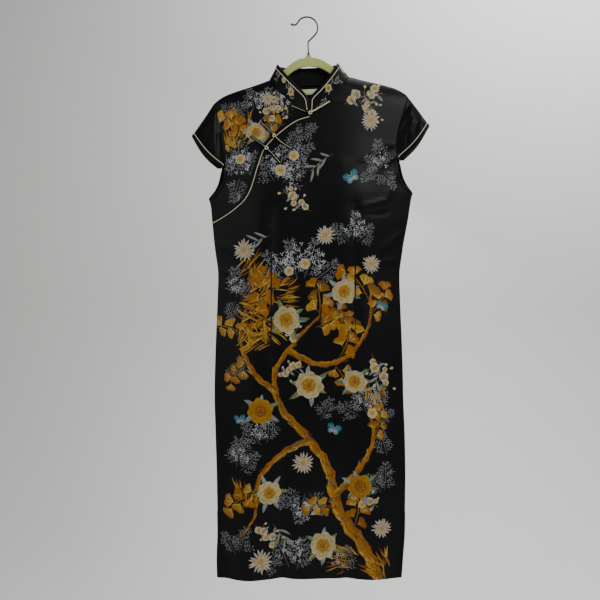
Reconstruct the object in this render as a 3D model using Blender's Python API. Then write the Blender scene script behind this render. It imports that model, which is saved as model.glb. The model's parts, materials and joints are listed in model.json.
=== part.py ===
"""Cheongsam dress hanging on a slim hanger: a stand collar, a front that laps over an underlap
and closes with three knot frogs, short cap sleeves, a back, piped edges and two side slits.

Metres, +Z up, +X to the wearer's left, the front faces -Y. The origin is the inside top of the
hanger's hook, where a peg carries it. Every piece of cloth is a wall worked out from the outline,
the depth of the hanging garment at each height, and its folds.
"""

import math

import bmesh
import bpy
from mathutils import Vector
from mathutils.bvhtree import BVHTree

# ---------------------------------------------------------------- driving sizes
CLOTH = 0.0013  # satin with its backing
GAP = 0.0003  # between pieces that meet
SEAM = CLOTH + GAP / 2  # outer face of a panel at the seam plane, y = 0
EDGE_GAP = 0.0006  # along the armholes and where the underlap runs out
COLLAR_GAP = 0.0010

TILT = 0.045  # radians: the hanger hangs a little low on the wearer's right
STEADY_Z = -0.200  # below this the cloth hangs straight down from the tilted shoulders

NECK_HALF = 0.087
NECK_SIDE_Z = -0.131
FRONT_NECK_DROP = 0.081
BACK_NECK_DROP = 0.011
UNDERARM_Z = -0.382
UNDERARM_HALF = 0.219
HEM_Z = -1.200
SLIT_TOP_Z = -1.065
SLIT_SPREAD = 0.004  # of each slit edge at the hem
OVERLAP = 0.024  # how far the underlap reaches below the lapped edge
LAY_BEHIND = 0.0023  # the underlap's face behind the front's face

COLLAR_HEIGHT = 0.037
COLLAR_WALL = 0.0018
COLLAR_CORNER = 0.012  # radius of the rounded front corners
COLLAR_START = 0.0013  # from the line where it closes
CLOSURE_X = -0.0035  # where the collar closes and its top edge is centred
COLLAR_ROWS = 3

BINDING_WIDTH = 0.0065
COLLAR_BINDING = 0.0056  # a third of this at the foot of the collar, and the whole of it 30 mm up
BINDING_WALL = 0.0009
PIPING = 0.0021  # diameter

SLEEVE_TIP = (0.255, -0.243)
SLEEVE_END_DROP = 0.138
SLEEVE_LAST = 0.008  # width of the sleeve where it runs out at the armhole
SLEEVE_OPEN_FRONT = 0.016
SLEEVE_OPEN_BACK = 0.012
SLEEVE_STEPS = 5

FROG_WIDTH = 0.0056
FROG_WALL = 0.0018
KNOT = 0.0090  # diameter of a knot button
KNOT_LIFT = 0.0033  # over the front's face, clear of the piping

HANGER_WALL = 0.0052
HANGER_DROP = 0.0020  # the arms' top edge below the shoulder seam
HANGER_BAND = 0.0195
BAR_TOP_Z = -0.197
BAR_BOTTOM_Z = -0.207
TIE_BAR_TOP_Z = -0.1535
TIE_BAR_BOTTOM_Z = -0.1660
BOSS_TOP_Z = -0.0800
WIRE = 0.0036
HOOK_RADIUS = 0.023

# Outline of the closed body: half width and how far its middle strays, at each height.
BODY = [  # z, half, sway
    (-0.382, 0.2190, 0.000),
    (-0.400, 0.2145, 0.000),
    (-0.430, 0.2108, -0.001),
    (-0.500, 0.2010, -0.004),
    (-0.554, 0.1946, -0.004),
    (-0.620, 0.1965, -0.004),
    (-0.700, 0.1998, -0.004),
    (-0.800, 0.2024, -0.004),
    (-0.900, 0.2030, -0.001),
    (-1.000, 0.2022, 0.001),
    (-1.100, 0.2004, 0.001),
    (-1.160, 0.1990, -0.002),
    (-1.200, 0.1968, -0.003),
]
ARMHOLE = [  # z, front half, back half
    (-0.176, 0.2070, 0.2070),
    (-0.215, 0.1960, 0.2000),
    (-0.255, 0.1845, 0.1920),
    (-0.290, 0.1810, 0.1890),
    (-0.320, 0.1840, 0.1925),
    (-0.345, 0.1880, 0.1975),
    (-0.363, 0.1970, 0.2050),
    (-0.374, 0.2080, 0.2125),
    (-0.382, 0.2190, 0.2190),
]
SHOULDER = [  # x, z
    (0.087, -0.1310),
    (0.120, -0.1415),
    (0.155, -0.1510),
    (0.186, -0.1620),
    (0.207, -0.1760),
]
DEPTH = [  # z, front, back: how far the middle of each panel stands out
    (-0.130, 0.0200, 0.0120),
    (-0.210, 0.0230, 0.0130),
    (-0.300, 0.0255, 0.0150),
    (-0.400, 0.0300, 0.0175),
    (-0.480, 0.0290, 0.0155),
    (-0.560, 0.0255, 0.0140),
    (-0.700, 0.0265, 0.0160),
    (-0.900, 0.0250, 0.0180),
    (-1.050, 0.0180, 0.0160),
    (-1.200, 0.0090, 0.0110),
]
HELD = [  # drop below the shoulder seam, outer face where the cloth rests round the hanger's arm
    (0.0000, 0.0012),
    (0.0025, 0.0043),
    (0.0060, 0.0049),
    (0.0360, 0.0050),
    (0.1200, 0.0032),
    (0.2000, SEAM),
]
# Rows of every panel, as drops below the shoulder tip. The sleeve runs out at 0.138, the underarm is at 0.206.
DROPS = [
    0.0, 0.0025, 0.006, 0.012, 0.022, 0.036, 0.057, 0.080, 0.100, 0.120, 0.138, 0.156, 0.172, 0.187, 0.198, 0.206,
    0.226, 0.258, 0.300, 0.350, 0.410, 0.480, 0.560, 0.645, 0.735, 0.825, 0.889, 0.950, 1.024,
]
UNDERLAP_DROPS = DROPS[:16] + [0.226, 0.242]
FLAP = [  # x, z: edge of the lapped front, from the neckline to the side seam
    (-0.0060, -0.2118),
    (-0.0370, -0.2215),
    (-0.0750, -0.2478),
    (-0.1042, -0.2778),
    (-0.1184, -0.3134),
    (-0.1273, -0.3440),
    (-0.1352, -0.3675),
    (-0.1468, -0.3866),
    (-0.1685, -0.4052),
    (-0.1912, -0.4200),
    (-0.2120, -0.4310),
]
# Folds: a soft ridge (or a trough, where the height is negative) from one point to another.
FRONT_FOLDS = [  # x0, z0, x1, z1, half width, height at start, height at end
    (-0.118, -0.600, -0.147, -1.300, 0.050, 0.001, 0.026),
    (0.118, -0.600, 0.150, -1.300, 0.048, 0.001, 0.019),
    (-0.012, -0.760, -0.020, -1.300, 0.040, 0.000, 0.005),
    (-0.090, -0.395, -0.092, -0.425, 0.058, 0.006, 0.006),
    (0.094, -0.390, 0.096, -0.420, 0.058, 0.006, 0.006),
    (-0.084, -0.420, -0.084, -0.760, 0.014, -0.0035, -0.0025),
    (0.094, -0.420, 0.094, -0.700, 0.014, -0.0030, -0.0020),
]
BACK_FOLDS = [
    (-0.085, -0.560, -0.100, -1.300, 0.045, 0.001, 0.011),
    (0.090, -0.560, 0.105, -1.300, 0.045, 0.001, 0.012),
    (-0.080, -0.380, -0.080, -0.740, 0.015, -0.0030, -0.0020),
    (0.080, -0.380, 0.080, -0.740, 0.015, -0.0030, -0.0020),
    (0.000, -0.300, 0.000, -0.900, 0.030, -0.0020, -0.0040),
]
COLLAR_LEAN = [  # degrees round from the middle front, lean towards the middle per unit of height
    (0, 0.02),
    (6, 0.08),
    (12, 0.22),
    (20, 0.38),
    (32, 0.48),
    (58, 0.50),
    (75, 0.60),
    (90, 0.70),
    (115, 0.46),
    (150, 0.16),
    (180, 0.00),
]
FROGS = [  # name, x and z of the knot, then angle in degrees and length of each leg
    ("frog_neck", -0.0013, -0.2120, 158, 0.043, 31, 0.047),
    ("frog_chest", -0.0770, -0.2565, 131, 0.040, -40, 0.045),
    ("frog_side", -0.0935, -0.2815, 141, 0.042, -46, 0.043),
]
HANGER_TOP = [  # x, z: the arch at the neck, down to where the arms follow the shoulders
    (0.0062, -0.0853),
    (0.0200, -0.0880),
    (0.0330, -0.0940),
    (0.0480, -0.1050),
    (0.0620, -0.1165),
    (0.0780, -0.1298),
    (0.0900, -0.1378),
]
HANGER_END = [  # outer x and z, inner x and z: round the tip from the arm to the bar
    (0.2005, -0.1790, 0.1835, -0.1845),
    (0.2022, -0.1880, 0.1840, -0.1890),
    (0.2005, -0.1980, 0.1830, -0.1935),
    (0.1960, -0.2045, 0.1800, -0.1962),
    (0.1890, BAR_BOTTOM_Z, 0.1750, BAR_TOP_Z),
]
TIE_BAR = [  # side, upper x and z, lower x and z: from the arm on the wearer's left to the other
    (1, 0.0660, TIE_BAR_TOP_Z, 0.0740, -0.1650),
    (1, 0.0420, TIE_BAR_TOP_Z, 0.0440, TIE_BAR_BOTTOM_Z),
    (1, 0.0, TIE_BAR_TOP_Z, 0.0, TIE_BAR_BOTTOM_Z),
    (-1, 0.0420, TIE_BAR_TOP_Z, 0.0440, TIE_BAR_BOTTOM_Z),
    (-1, 0.0660, TIE_BAR_TOP_Z, 0.0740, -0.1650),
]
HOOK_START = [  # x, z: stem and bend below the arc
    (0.0009, BOSS_TOP_Z + GAP),
    (0.0009, -0.0660),
    (0.0009, -0.0560),
    (0.0022, -0.0508),
    (0.0065, -0.0468),
]
HOOK_TIP = [  # x, z: after the arc
    (-0.0190, -0.0088),
    (-0.0227, -0.0130),
    (-0.0275, -0.0143),
    (-0.0325, -0.0125),
]

SATIN = (0.012, 0.012, 0.016, 1.0)
CREAM = (0.70, 0.64, 0.40, 1.0)
GREEN = (0.50, 0.56, 0.27, 1.0)
STEEL = (0.42, 0.38, 0.36, 1.0)


# ---------------------------------------------------------------- reading tables and curves
def mix(a, b, t):
    return a + (b - a) * t


def read(rows, at, column):
    """Value of a table's column at a place in its first column, on a smooth curve."""
    rows = sorted(rows)
    at = min(max(at, rows[0][0]), rows[-1][0])
    last = len(rows) - 1
    k = max(i for i in range(last) if rows[i][0] <= at)
    rises = [(b[column] - a[column]) / (b[0] - a[0]) for a, b in zip(rows, rows[1:])]

    def slope(i):
        if i in (0, last):
            return rises[min(i, last - 1)]
        before, after = rises[i - 1], rises[i]
        return 0.0 if before * after <= 0 else 2 * before * after / (before + after)

    step = rows[k + 1][0] - rows[k][0]
    t = (at - rows[k][0]) / step
    low, high = rows[k][column], rows[k + 1][column]
    start, end = slope(k) * step, slope(k + 1) * step
    return low + t * (start + t * (3 * (high - low) - 2 * start - end + t * (2 * (low - high) + start + end)))


def along(points, count):
    """That many points, evenly spaced, on a smooth curve through a list of points."""
    line, fine = [], 24
    ends = [points[0], *points, points[-1]]
    for four in zip(ends, ends[1:], ends[2:], ends[3:]):
        for i in range(fine):
            t = i / fine
            line.append([spline(p, q, r, s, t) for p, q, r, s in zip(*four)])
    line.append(list(points[-1]))
    return evenly(line, count)


def spline(p, q, r, s, t):
    return 0.5 * (2 * q + t * (r - p + t * (2 * p - 5 * q + 4 * r - s + t * (3 * q - p - 3 * r + s))))


def evenly(line, count):
    """That many points, evenly spaced, on straight lines through a list of points."""
    lengths = [0.0]
    for a, b in zip(line, line[1:]):
        lengths.append(lengths[-1] + math.dist(a, b))
    spaced, k = [], 0
    for i in range(count):
        want = lengths[-1] * i / (count - 1)
        while k < len(line) - 2 and lengths[k + 1] < want:
            k += 1
        t = min((want - lengths[k]) / (lengths[k + 1] - lengths[k]), 1.0)
        spaced.append([mix(p, q, t) for p, q in zip(line[k], line[k + 1])])
    return spaced


def flat_normals(line):
    """Unit normals in the XZ plane, to the left of the way a line runs."""
    found = []
    for k in range(len(line)):
        a, b = line[max(k - 1, 0)], line[min(k + 1, len(line) - 1)]
        way = Vector((b[0] - a[0], b[1] - a[1])).normalized()
        found.append(Vector((-way.y, way.x)))
    return found


# ---------------------------------------------------------------- form of the hanging garment
def hung(x, y, z):
    """A point of the upright garment, moved to where it hangs from the tilted hanger."""
    held = min(max((z + 0.50) / 0.20, 0.0), 1.0)
    held = held * held * (3 - 2 * held)
    return Vector((x + TILT * min(-z, -STEADY_Z), y, z + TILT * held * x))


def body_half(z):
    return UNDERARM_HALF if z > UNDERARM_Z else read(BODY, z, 1)


def body_sway(z):
    return 0.0 if z > UNDERARM_Z else read(BODY, z, 2)


def edge_of(z, side, column):
    """x of a panel's edge: the armhole above the underarm, and the side seam below it."""
    if z > UNDERARM_Z:
        return side * read(ARMHOLE, z, column)
    return side * body_half(z) + body_sway(z)


def shoulder_z(x):
    """Height of the shoulder seam, and of its line carried on over the neck."""
    x = abs(x)
    if x < SHOULDER[0][0]:
        return SHOULDER[0][1] + 0.40 * (SHOULDER[0][0] - x)
    return read(SHOULDER, x, 1)


def fold_height(folds, x, z):
    """Sum of the folds at a point of a panel."""
    total = 0.0
    for x0, z0, x1, z1, half, start, end in folds:
        dx, dz = x1 - x0, z1 - z0
        length = math.hypot(dx, dz)
        t = ((x - x0) * dx + (z - z0) * dz) / length**2
        across = abs((x - x0) * dz - (z - z0) * dx) / length
        beyond = max(-t, t - 1, 0.0) * length
        fade = math.exp(-((across / half) ** 2) - (beyond / (1.6 * half)) ** 2)
        total += mix(start, end, min(max(t, 0.0), 1.0)) * fade
    return total


def stand_off(x, z, column, folds):
    """How far a panel's outer face stands from the seam plane."""
    u = min(abs((x - body_sway(z)) / body_half(z)), 1.0)
    drop = max(shoulder_z(x) - z, 0.0)
    rounded = 1 - (1 - min(drop / 0.036, 1.0)) ** 2
    slit = max(SLIT_TOP_Z - z, 0.0) / (SLIT_TOP_Z - HEM_Z) * SLIT_SPREAD
    full = read(DEPTH, z, column) * (1 - u**2.4) + fold_height(folds, x, z) * (1 - u**4)
    return read(HELD, drop, 1) + slit * u**6 + rounded * full


def front_y(x, z):
    return -stand_off(x, z, 1, FRONT_FOLDS)


def underlap_y(x, z):
    """The underlap lies behind the front, but meets the back with it at the shoulder and the side."""
    below = min(max((shoulder_z(x) - z) / 0.03, 0.0), 1.0)
    inside = min(max((body_half(z) - abs(x - body_sway(z))) / 0.020, 0.0), 1.0)
    return front_y(x, z) + LAY_BEHIND * below * inside


def back_y(x, z):
    return stand_off(x, z, 2, BACK_FOLDS)


# ---------------------------------------------------------------- making objects
def material(name, colour, roughness, metallic=0.0):
    made = bpy.data.materials.new(name)
    made.use_nodes = True
    shader = made.node_tree.nodes["Principled BSDF"]
    shader.inputs["Base Color"].default_value = colour
    shader.inputs["Roughness"].default_value = roughness
    shader.inputs["Metallic"].default_value = metallic
    return made


def add_object(name, data, finish):
    made = bpy.data.objects.new(name, data)
    bpy.context.scene.collection.objects.link(made)
    data.materials.append(finish)
    return made


def grid_mesh(name, grid, flip=False, loop=False):
    """A sheet of triangles through rows of points. A loop joins its last row to its first."""
    mesh = bpy.data.meshes.new(name)
    work = bmesh.new()
    rows = [[work.verts.new(point) for point in row] for row in grid]
    pairs = list(zip(rows, rows[1:])) + ([(rows[-1], rows[0])] if loop else [])
    for upper, lower in pairs:
        for a, b, c, d in zip(upper, upper[1:], lower[1:], lower):
            work.faces.new((d, c, b, a) if flip else (a, b, c, d))
    bmesh.ops.triangulate(work, faces=work.faces, quad_method="FIXED")
    work.to_mesh(mesh)
    work.free()
    return mesh


def sheet(name, grid, finish, wall=CLOTH, grow=-1.0, flip=False):
    """A wall of cloth: the grid is its outer face, and the wall goes inwards, or outwards with grow 1."""
    made = add_object(name, grid_mesh(name, grid, flip), finish)
    solid = made.modifiers.new("wall", "SOLIDIFY")
    solid.thickness = wall
    solid.offset = grow
    made.data.shade_smooth()
    return made


def cord(name, points, diameter, finish, sides=0):
    """A round cord or wire along points."""
    curve = bpy.data.curves.new(name, "CURVE")
    curve.dimensions = "3D"
    curve.bevel_depth = diameter / 2
    curve.bevel_resolution = sides
    curve.use_fill_caps = True
    line = curve.splines.new("POLY")
    line.points.add(len(points) - 1)
    for spot, point in zip(line.points, points):
        spot.co = (*point, 1.0)
    return add_object(name, curve, finish)


# ---------------------------------------------------------------- panels
def shares(line):
    """How far across each point of a line lies, from 0 to 1."""
    low, high = line[0][0], line[-1][0]
    return [(x - low) / (high - low) for x, z in line]


def side_pull(z, edge, high, low):
    """How far a side edge lies from the straight line between its ends, at a height."""
    t = min(max((z - high[1]) / (low[1] - high[1]), 0.0), 1.0)
    return edge(mix(high[1], low[1], t)) - mix(high[0], low[0], t)


def panel_grid(top, bottom, rows, left, right, depth):
    """Rows of points between a top line and a bottom line, whose ends follow the panel's side edges."""
    places = list(zip(top, bottom, shares(top), shares(bottom)))
    grid = []
    for row in rows:
        line = []
        for above, below, high_share, low_share in places:
            share = mix(high_share, low_share, row)
            z = mix(above[1], below[1], row)
            x = mix(above[0], below[0], row)
            x += side_pull(z, left, top[0], bottom[0]) * (1 - share) ** 6
            x += side_pull(z, right, top[-1], bottom[-1]) * share**6
            line.append(hung(x, depth(x, z), z))
        grid.append(line)
    return grid


def neck_z(x, neck):
    """Height of the neckline. A neck is its drop and the powers of its curve across and down."""
    drop, across, down = neck
    return NECK_SIDE_Z - drop * max(1 - abs(x / NECK_HALF) ** across, 0.0) ** (1 / down)


def neck_inward(x, neck):
    """The way from the neckline into the opening."""
    drop, across, down = neck
    rest = max(1 - abs(x / NECK_HALF) ** across, 1e-9) ** ((down - 1) / down)
    slope = across * abs(x) ** (across - 1) / NECK_HALF**across
    return Vector((-math.copysign(slope, x), down * rest / drop)).normalized()


def neck_line(neck, steps):
    """Points of the neckline, from the middle to the shoulder."""
    points = []
    for i in range(steps + 1):
        x = NECK_HALF * math.sin(math.pi / 2 * (1 - (1 - i / steps) ** 1.3))
        points.append((x, neck_z(x, neck)))
    return points


def mirrored(points):
    return [(-x, z) for x, z in reversed(points)]


def hem_below(top):
    """Hem points under a panel's top line, more evenly spread than the points above."""
    left, right = edge_of(HEM_Z, -1, 1), edge_of(HEM_Z, 1, 1)
    return [(mix(left, right, mix(share, k / (len(top) - 1), 0.7)), HEM_Z) for k, share in enumerate(shares(top))]


NECK_STEPS = 9
FRONT_CURVE = (FRONT_NECK_DROP, 1.6, 1.0)
BACK_CURVE = (BACK_NECK_DROP, 2.0, 2.0)
FRONT_NECK = neck_line(FRONT_CURVE, NECK_STEPS)
FRONT_NECK.insert(1, (0.4 * FRONT_NECK[1][0], neck_z(0.4 * FRONT_NECK[1][0], FRONT_CURVE)))
BACK_NECK = neck_line(BACK_CURVE, NECK_STEPS)
SHOULDER_LINE = along(SHOULDER, 6)
SHOULDER_LINE.insert(-1, [mix(a, b, 0.6) for a, b in zip(*SHOULDER_LINE[-2:])])
FULL_ROWS = [drop / DROPS[-1] for drop in DROPS]


def front_panel(finish):
    top = along(FLAP, 14)[::-1][:-1] + [tuple(FLAP[0])] + FRONT_NECK[:-1] + SHOULDER_LINE
    grid = panel_grid(
        top, hem_below(top), FULL_ROWS, lambda z: edge_of(z, -1, 1), lambda z: edge_of(z, 1, 1), front_y
    )
    sheet("front_panel", grid, finish, flip=True)
    return grid


def underlap(finish):
    """The small front on the wearer's right that the lapped front closes over."""
    top = mirrored(FRONT_NECK[:-1] + SHOULDER_LINE)
    edge = evenly([(0.0, FLAP[0][1]), *along(FLAP, 120)], 200)[::-1]
    edge = [
        (min(x - normal.x * deep, 0.0), z + 2 * EDGE_GAP - normal.y * deep)
        for (x, z), normal in zip(edge, flat_normals(edge))
        for deep in [OVERLAP * min(max((x - edge[0][0] - 0.022) / 0.030, 0.0), 1.0)]
    ]
    bottom = [edge[round(199 * mix(share, k / (len(top) - 1), 0.8))] for k, share in enumerate(shares(top))]
    reach = top[0][1] - bottom[0][1]
    rows = [drop / reach for drop in UNDERLAP_DROPS] + [1.0]
    grid = panel_grid(top, bottom, rows, lambda z: edge_of(z, -1, 1), lambda z: 0.0, underlap_y)
    sheet("front_underlap", grid, finish, flip=True)
    return grid


def back_panel(finish):
    half = BACK_NECK[:-1] + SHOULDER_LINE
    top = mirrored(half)[:-1] + half
    grid = panel_grid(
        top, hem_below(top), FULL_ROWS, lambda z: edge_of(z, -1, 2), lambda z: edge_of(z, 1, 2), back_y
    )
    sheet("back_panel", grid, finish)
    return grid


# ---------------------------------------------------------------- cap sleeves
def sleeve_grid(side):
    """The cap sleeve as one sheet, from its back end over the fold at the top to its front end."""
    fronts = front_y if side > 0 else underlap_y
    stations = [drop for drop in DROPS if drop <= SLEEVE_END_DROP]
    turns = [(drop, 1) for drop in reversed(stations[1:])] + [(drop, -1) for drop in stations]
    grid = []
    for drop, face in turns:
        share = (drop / SLEEVE_END_DROP) ** 0.9
        seam_z = ARMHOLE[0][0] - drop
        seam_x = read(ARMHOLE, seam_z, 2 if face > 0 else 1) + EDGE_GAP
        end_x = read(ARMHOLE, ARMHOLE[0][0] - SLEEVE_END_DROP, 2 if face > 0 else 1) + SLEEVE_LAST
        hem_x = mix(SLEEVE_TIP[0], end_x, share) + 0.004 * math.sin(math.pi * share)
        hem_z = mix(SLEEVE_TIP[1], ARMHOLE[0][0] - SLEEVE_END_DROP, share) - 0.004 * math.sin(math.pi * share)
        spread = SLEEVE_OPEN_BACK if face > 0 else SLEEVE_OPEN_FRONT
        seam_y = 0.0 if drop == 0 else (back_y if face > 0 else fronts)(side * (seam_x - EDGE_GAP), seam_z)
        end_y = (back_y if face > 0 else fronts)(side * end_x, seam_z)
        hem_y = 0.0 if drop == 0 else mix(face * (SEAM + spread * min(share * 5, 1.0) ** 0.6), end_y, share**3)
        line = []
        for k in range(SLEEVE_STEPS + 1):
            t = k / SLEEVE_STEPS
            crown = 0.004 * math.sin(math.pi * t) * min(share * 4, 1.0) * (1 - share)
            line.append(hung(side * mix(seam_x, hem_x, t), mix(seam_y, hem_y, t) + face * crown, mix(seam_z, hem_z, t)))
        grid.append(line)
    return grid


def sleeves(finish):
    made = {}
    for name, side in (("sleeve_right", -1), ("sleeve_left", 1)):
        made[name] = sleeve_grid(side)
        sheet(name, made[name], finish, flip=side > 0)
    return made


# ---------------------------------------------------------------- stand collar
def collar_ring(side):
    """Places on half of the collar's foot, from the middle front to the middle back: foot, rise and height."""
    fronts = front_y if side > 0 else underlap_y
    first = FRONT_NECK[2][0]
    places = [(x, FRONT_CURVE, fronts) for x in (COLLAR_START, 0.12 * first, 0.3 * first, 0.6 * first, first)]
    places += [(mix(first, FRONT_NECK[3][0], 0.5), FRONT_CURVE, fronts)]
    places += [(x, FRONT_CURVE, fronts) for x, z in FRONT_NECK[3:-1]]
    places += [(x, BACK_CURVE, back_y) for x, z in BACK_NECK[::-1]]
    ring, length, last = [], 0.0, None
    shoulder = len(places) - NECK_STEPS - 1
    for k, (x, neck, face) in enumerate(places):
        angle = math.asin(min(x / NECK_HALF, 1.0))
        shift = math.cos(angle) ** 2 if k < shoulder else 0.0
        x += side * CLOSURE_X * shift
        z, inward = neck_z(x, neck), neck_inward(x, neck)
        y = 0.0 if k == shoulder else face(side * x, z)
        gap = COLLAR_GAP * (1 + 0.5 * (x / NECK_HALF) ** 4)
        foot = Vector((x + (inward.x * gap if k else 0.0), y, z + inward.y * gap))
        length += (foot - last).length if last else 0.0
        last = foot
        corner = 1 - min(length / COLLAR_CORNER, 1.0)
        height = COLLAR_HEIGHT - COLLAR_CORNER * (1 - math.sqrt(1 - corner**2))
        degrees = math.degrees(angle)
        lean = read(COLLAR_LEAN, 180 - degrees if k > shoulder else degrees, 1)
        rise = Vector((CLOSURE_X / COLLAR_HEIGHT * (1 - shift) - side * lean, -3.0 * y, 1.0)).normalized()
        ring.append((Vector((side * foot.x, y, foot.z)), rise, height))
    return ring


def collar(finish):
    """One band of cloth round the neck, open at the middle front with rounded corners."""
    ring = collar_ring(-1)[:-1] + collar_ring(1)[::-1]
    grid = [
        [hung(*(foot + rise * height * (1 - k / COLLAR_ROWS))) for foot, rise, height in ring]
        for k in range(COLLAR_ROWS + 1)
    ]
    sheet("collar", grid, finish, wall=COLLAR_WALL)
    return grid


# ---------------------------------------------------------------- bindings and pipings
def outward(grid, i, j, sign):
    """Outward normal at a point of a grid."""
    across = grid[i][min(j + 1, len(grid[i]) - 1)] - grid[i][max(j - 1, 0)]
    down = grid[min(i + 1, len(grid) - 1)][j] - grid[max(i - 1, 0)][j]
    return sign * across.cross(down).normalized()


def edge_frame(grid, places, sign):
    """Along an edge of a sheet: each point, the way into the sheet, and the way out from its face."""
    frame, agree = [], 0.0
    for k, (i, j) in enumerate(places):
        before, after = places[max(k - 1, 0)], places[min(k + 1, len(places) - 1)]
        way = (grid[after[0]][after[1]] - grid[before[0]][before[1]]).normalized()
        out = outward(grid, i, j, sign)
        frame.append((grid[i][j], out.cross(way).normalized(), out))
        inner = grid[min(max(i, 1), len(grid) - 2)][min(max(j, 1), len(grid[0]) - 2)]
        agree += (inner - grid[i][j]).dot(frame[-1][1])
    if agree < 0:
        frame = [(point, -inside, out) for point, inside, out in frame[::-1]]
    return frame


def lane(frame, depths, clear):
    """A line at a distance inside an edge, the same or one for each point, and a distance out from the face."""
    if isinstance(depths, float):
        depths = [depths] * len(frame)
    return [point + inside * depth + out * clear for (point, inside, out), depth in zip(frame, depths)]


def drawn_in(frame, share):
    """The same edge, with its two ends moved a share of the way to the next points."""
    ends = [
        tuple(mix(a, b, share) for a, b in zip(frame[0], frame[1])),
        tuple(mix(a, b, share) for a, b in zip(frame[-1], frame[-2])),
    ]
    return [ends[0], *frame[1:-1], ends[1]]


def trim(name, frame, black, cream=None, widths=None):
    """A binding along an edge, with a piping beside it where a cream is given."""
    frame = drawn_in(frame, 0.15)
    widths = widths or [BINDING_WIDTH] * len(frame)
    sheet(name + "_binding", [lane(frame, 0.0, 2 * GAP), lane(frame, widths, 2.5 * GAP)], black, BINDING_WALL, 1.0)
    if cream:
        beside = lane(frame, [width + PIPING / 2 + 0.0006 for width in widths], PIPING / 2 + 2 * GAP)
        cord(name + "_piping", beside, PIPING, cream)


def trims(front, lap, back, caps, band, black, cream):
    last, foot = len(band[0]) - 1, COLLAR_ROWS
    around = [(i, 0) for i in range(foot, 0, -1)]
    around += [(0, j) for j in range(last + 1)]
    around += [(i, last) for i in range(1, foot + 1)]
    frame = edge_frame(band, around, 1)
    runs = [0.0]
    for (a, _, _), (b, _, _) in zip(frame, frame[1:]):
        runs.append(runs[-1] + (b - a).length)
    grown = [min(run, runs[-1] - run) / 0.030 for run in runs]
    trim("collar", frame, black, cream, [COLLAR_BINDING * min(0.34 + 0.66 * share, 1.0) for share in grown])
    trim("flap", edge_frame(front, [(0, j) for j in range(14)], -1), black, cream)
    for name, grid in caps.items():
        sign = -1 if name == "sleeve_left" else 1
        rim = [(i, SLEEVE_STEPS) for i in range(len(grid))]
        trim(name, edge_frame(grid, rim, sign), black, cream)
    start, end = DROPS.index(0.156), DROPS.index(0.198)
    hole = range(start, end + 1)
    for name, grid, sign, left in (
        ("right_front", lap, -1, True),
        ("left_front", front, -1, False),
        ("right_back", back, 1, True),
        ("left_back", back, 1, False),
    ):
        column = 0 if left else len(grid[0]) - 1
        trim("armhole_" + name, edge_frame(grid, [(i, column) for i in hole], sign), black)
    for name, grid, sign, column in (
        ("right_front", front, -1, 0),
        ("left_front", front, -1, len(front[0]) - 1),
        ("right_back", back, 1, 0),
        ("left_back", back, 1, len(back[0]) - 1),
    ):
        slit = [i for i in range(len(grid)) if grid[i][column].z < SLIT_TOP_Z + 0.02]
        trim("slit_" + name, edge_frame(grid, [(i, column) for i in slit], sign), black)


# ---------------------------------------------------------------- frogs
class Face:
    """The outer faces of some sheets, to find the height of what lies on them."""

    def __init__(self, *grids):
        points, faces = [], []
        for grid in grids:
            start, wide = len(points), len(grid[0])
            points += [point for row in grid for point in row]
            for a in range(start, start + (len(grid) - 1) * wide):
                if (a - start) % wide < wide - 1:
                    faces += [(a, a + 1, a + wide + 1), (a, a + wide + 1, a + wide)]
        self.tree = BVHTree.FromPolygons(points, faces)

    def y(self, x, z):
        """Where the cloth lies at a place seen from the front."""
        hit = self.tree.ray_cast(Vector((x, -1.0, z)), Vector((0.0, 1.0, 0.0)))
        return hit[0].y if hit[0] else self.tree.find_nearest(Vector((x, 0.0, z)))[0].y


def frog_half(name, start, angle, near, length, top, cloth, finish):
    """Half a frog: a doubled cord sewn flat, from the knot outwards."""
    way = Vector((math.cos(math.radians(angle)), math.sin(math.radians(angle))))
    side = Vector((-way.y, way.x)) * FROG_WIDTH / 2
    lanes = [[], []]
    for k in range(8):
        t = k / 7
        spot = start + way * mix(near, length, t)
        down = min(max((t - 0.25) / 0.4, 0.0), 1.0)
        nearest = min(cloth.y(spot.x + side.x * s, spot.y + side.y * s) for s in (-1, 0, 1))
        y = min(nearest - mix(KNOT_LIFT, GAP, down), mix(top, nearest - GAP, down))
        for line, s in zip(lanes, (-1, 1)):
            line.append(Vector((spot.x + side.x * s, y, spot.y + side.y * s)))
    return sheet(name, lanes, finish, FROG_WALL, 1.0)


def knot_ball(name, centre):
    """The ball of a knot, kept as a guide that its half of the frog takes in."""
    mesh = bpy.data.meshes.new(name)
    work = bmesh.new()
    bmesh.ops.create_icosphere(work, subdivisions=2, radius=KNOT / 2)
    bmesh.ops.translate(work, vec=centre, verts=work.verts)
    work.to_mesh(mesh)
    work.free()
    guide = bpy.data.objects.new(name, mesh)
    bpy.context.scene.collection.objects.link(guide)
    guide.hide_render = True
    guide.display_type = "WIRE"
    return guide


def frogs(cloth, finish):
    for name, x, z, first, first_length, second, second_length in FROGS:
        centre = hung(x, 0.0, z)
        start = Vector((centre.x, centre.z))
        top = cloth.y(centre.x, centre.z) - KNOT_LIFT
        frog_half(name + "_loop_half", start, first, KNOT / 2 + 0.0005, first_length, top, cloth, finish)
        knotted = frog_half(name + "_knot_half", start, second, 0.0, second_length, top, cloth, finish)
        union = knotted.modifiers.new("knot", "BOOLEAN")
        union.operation = "UNION"
        union.object = knot_ball(name + "_ball", (centre.x, top + 0.0012 - KNOT / 2, centre.z))


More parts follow.
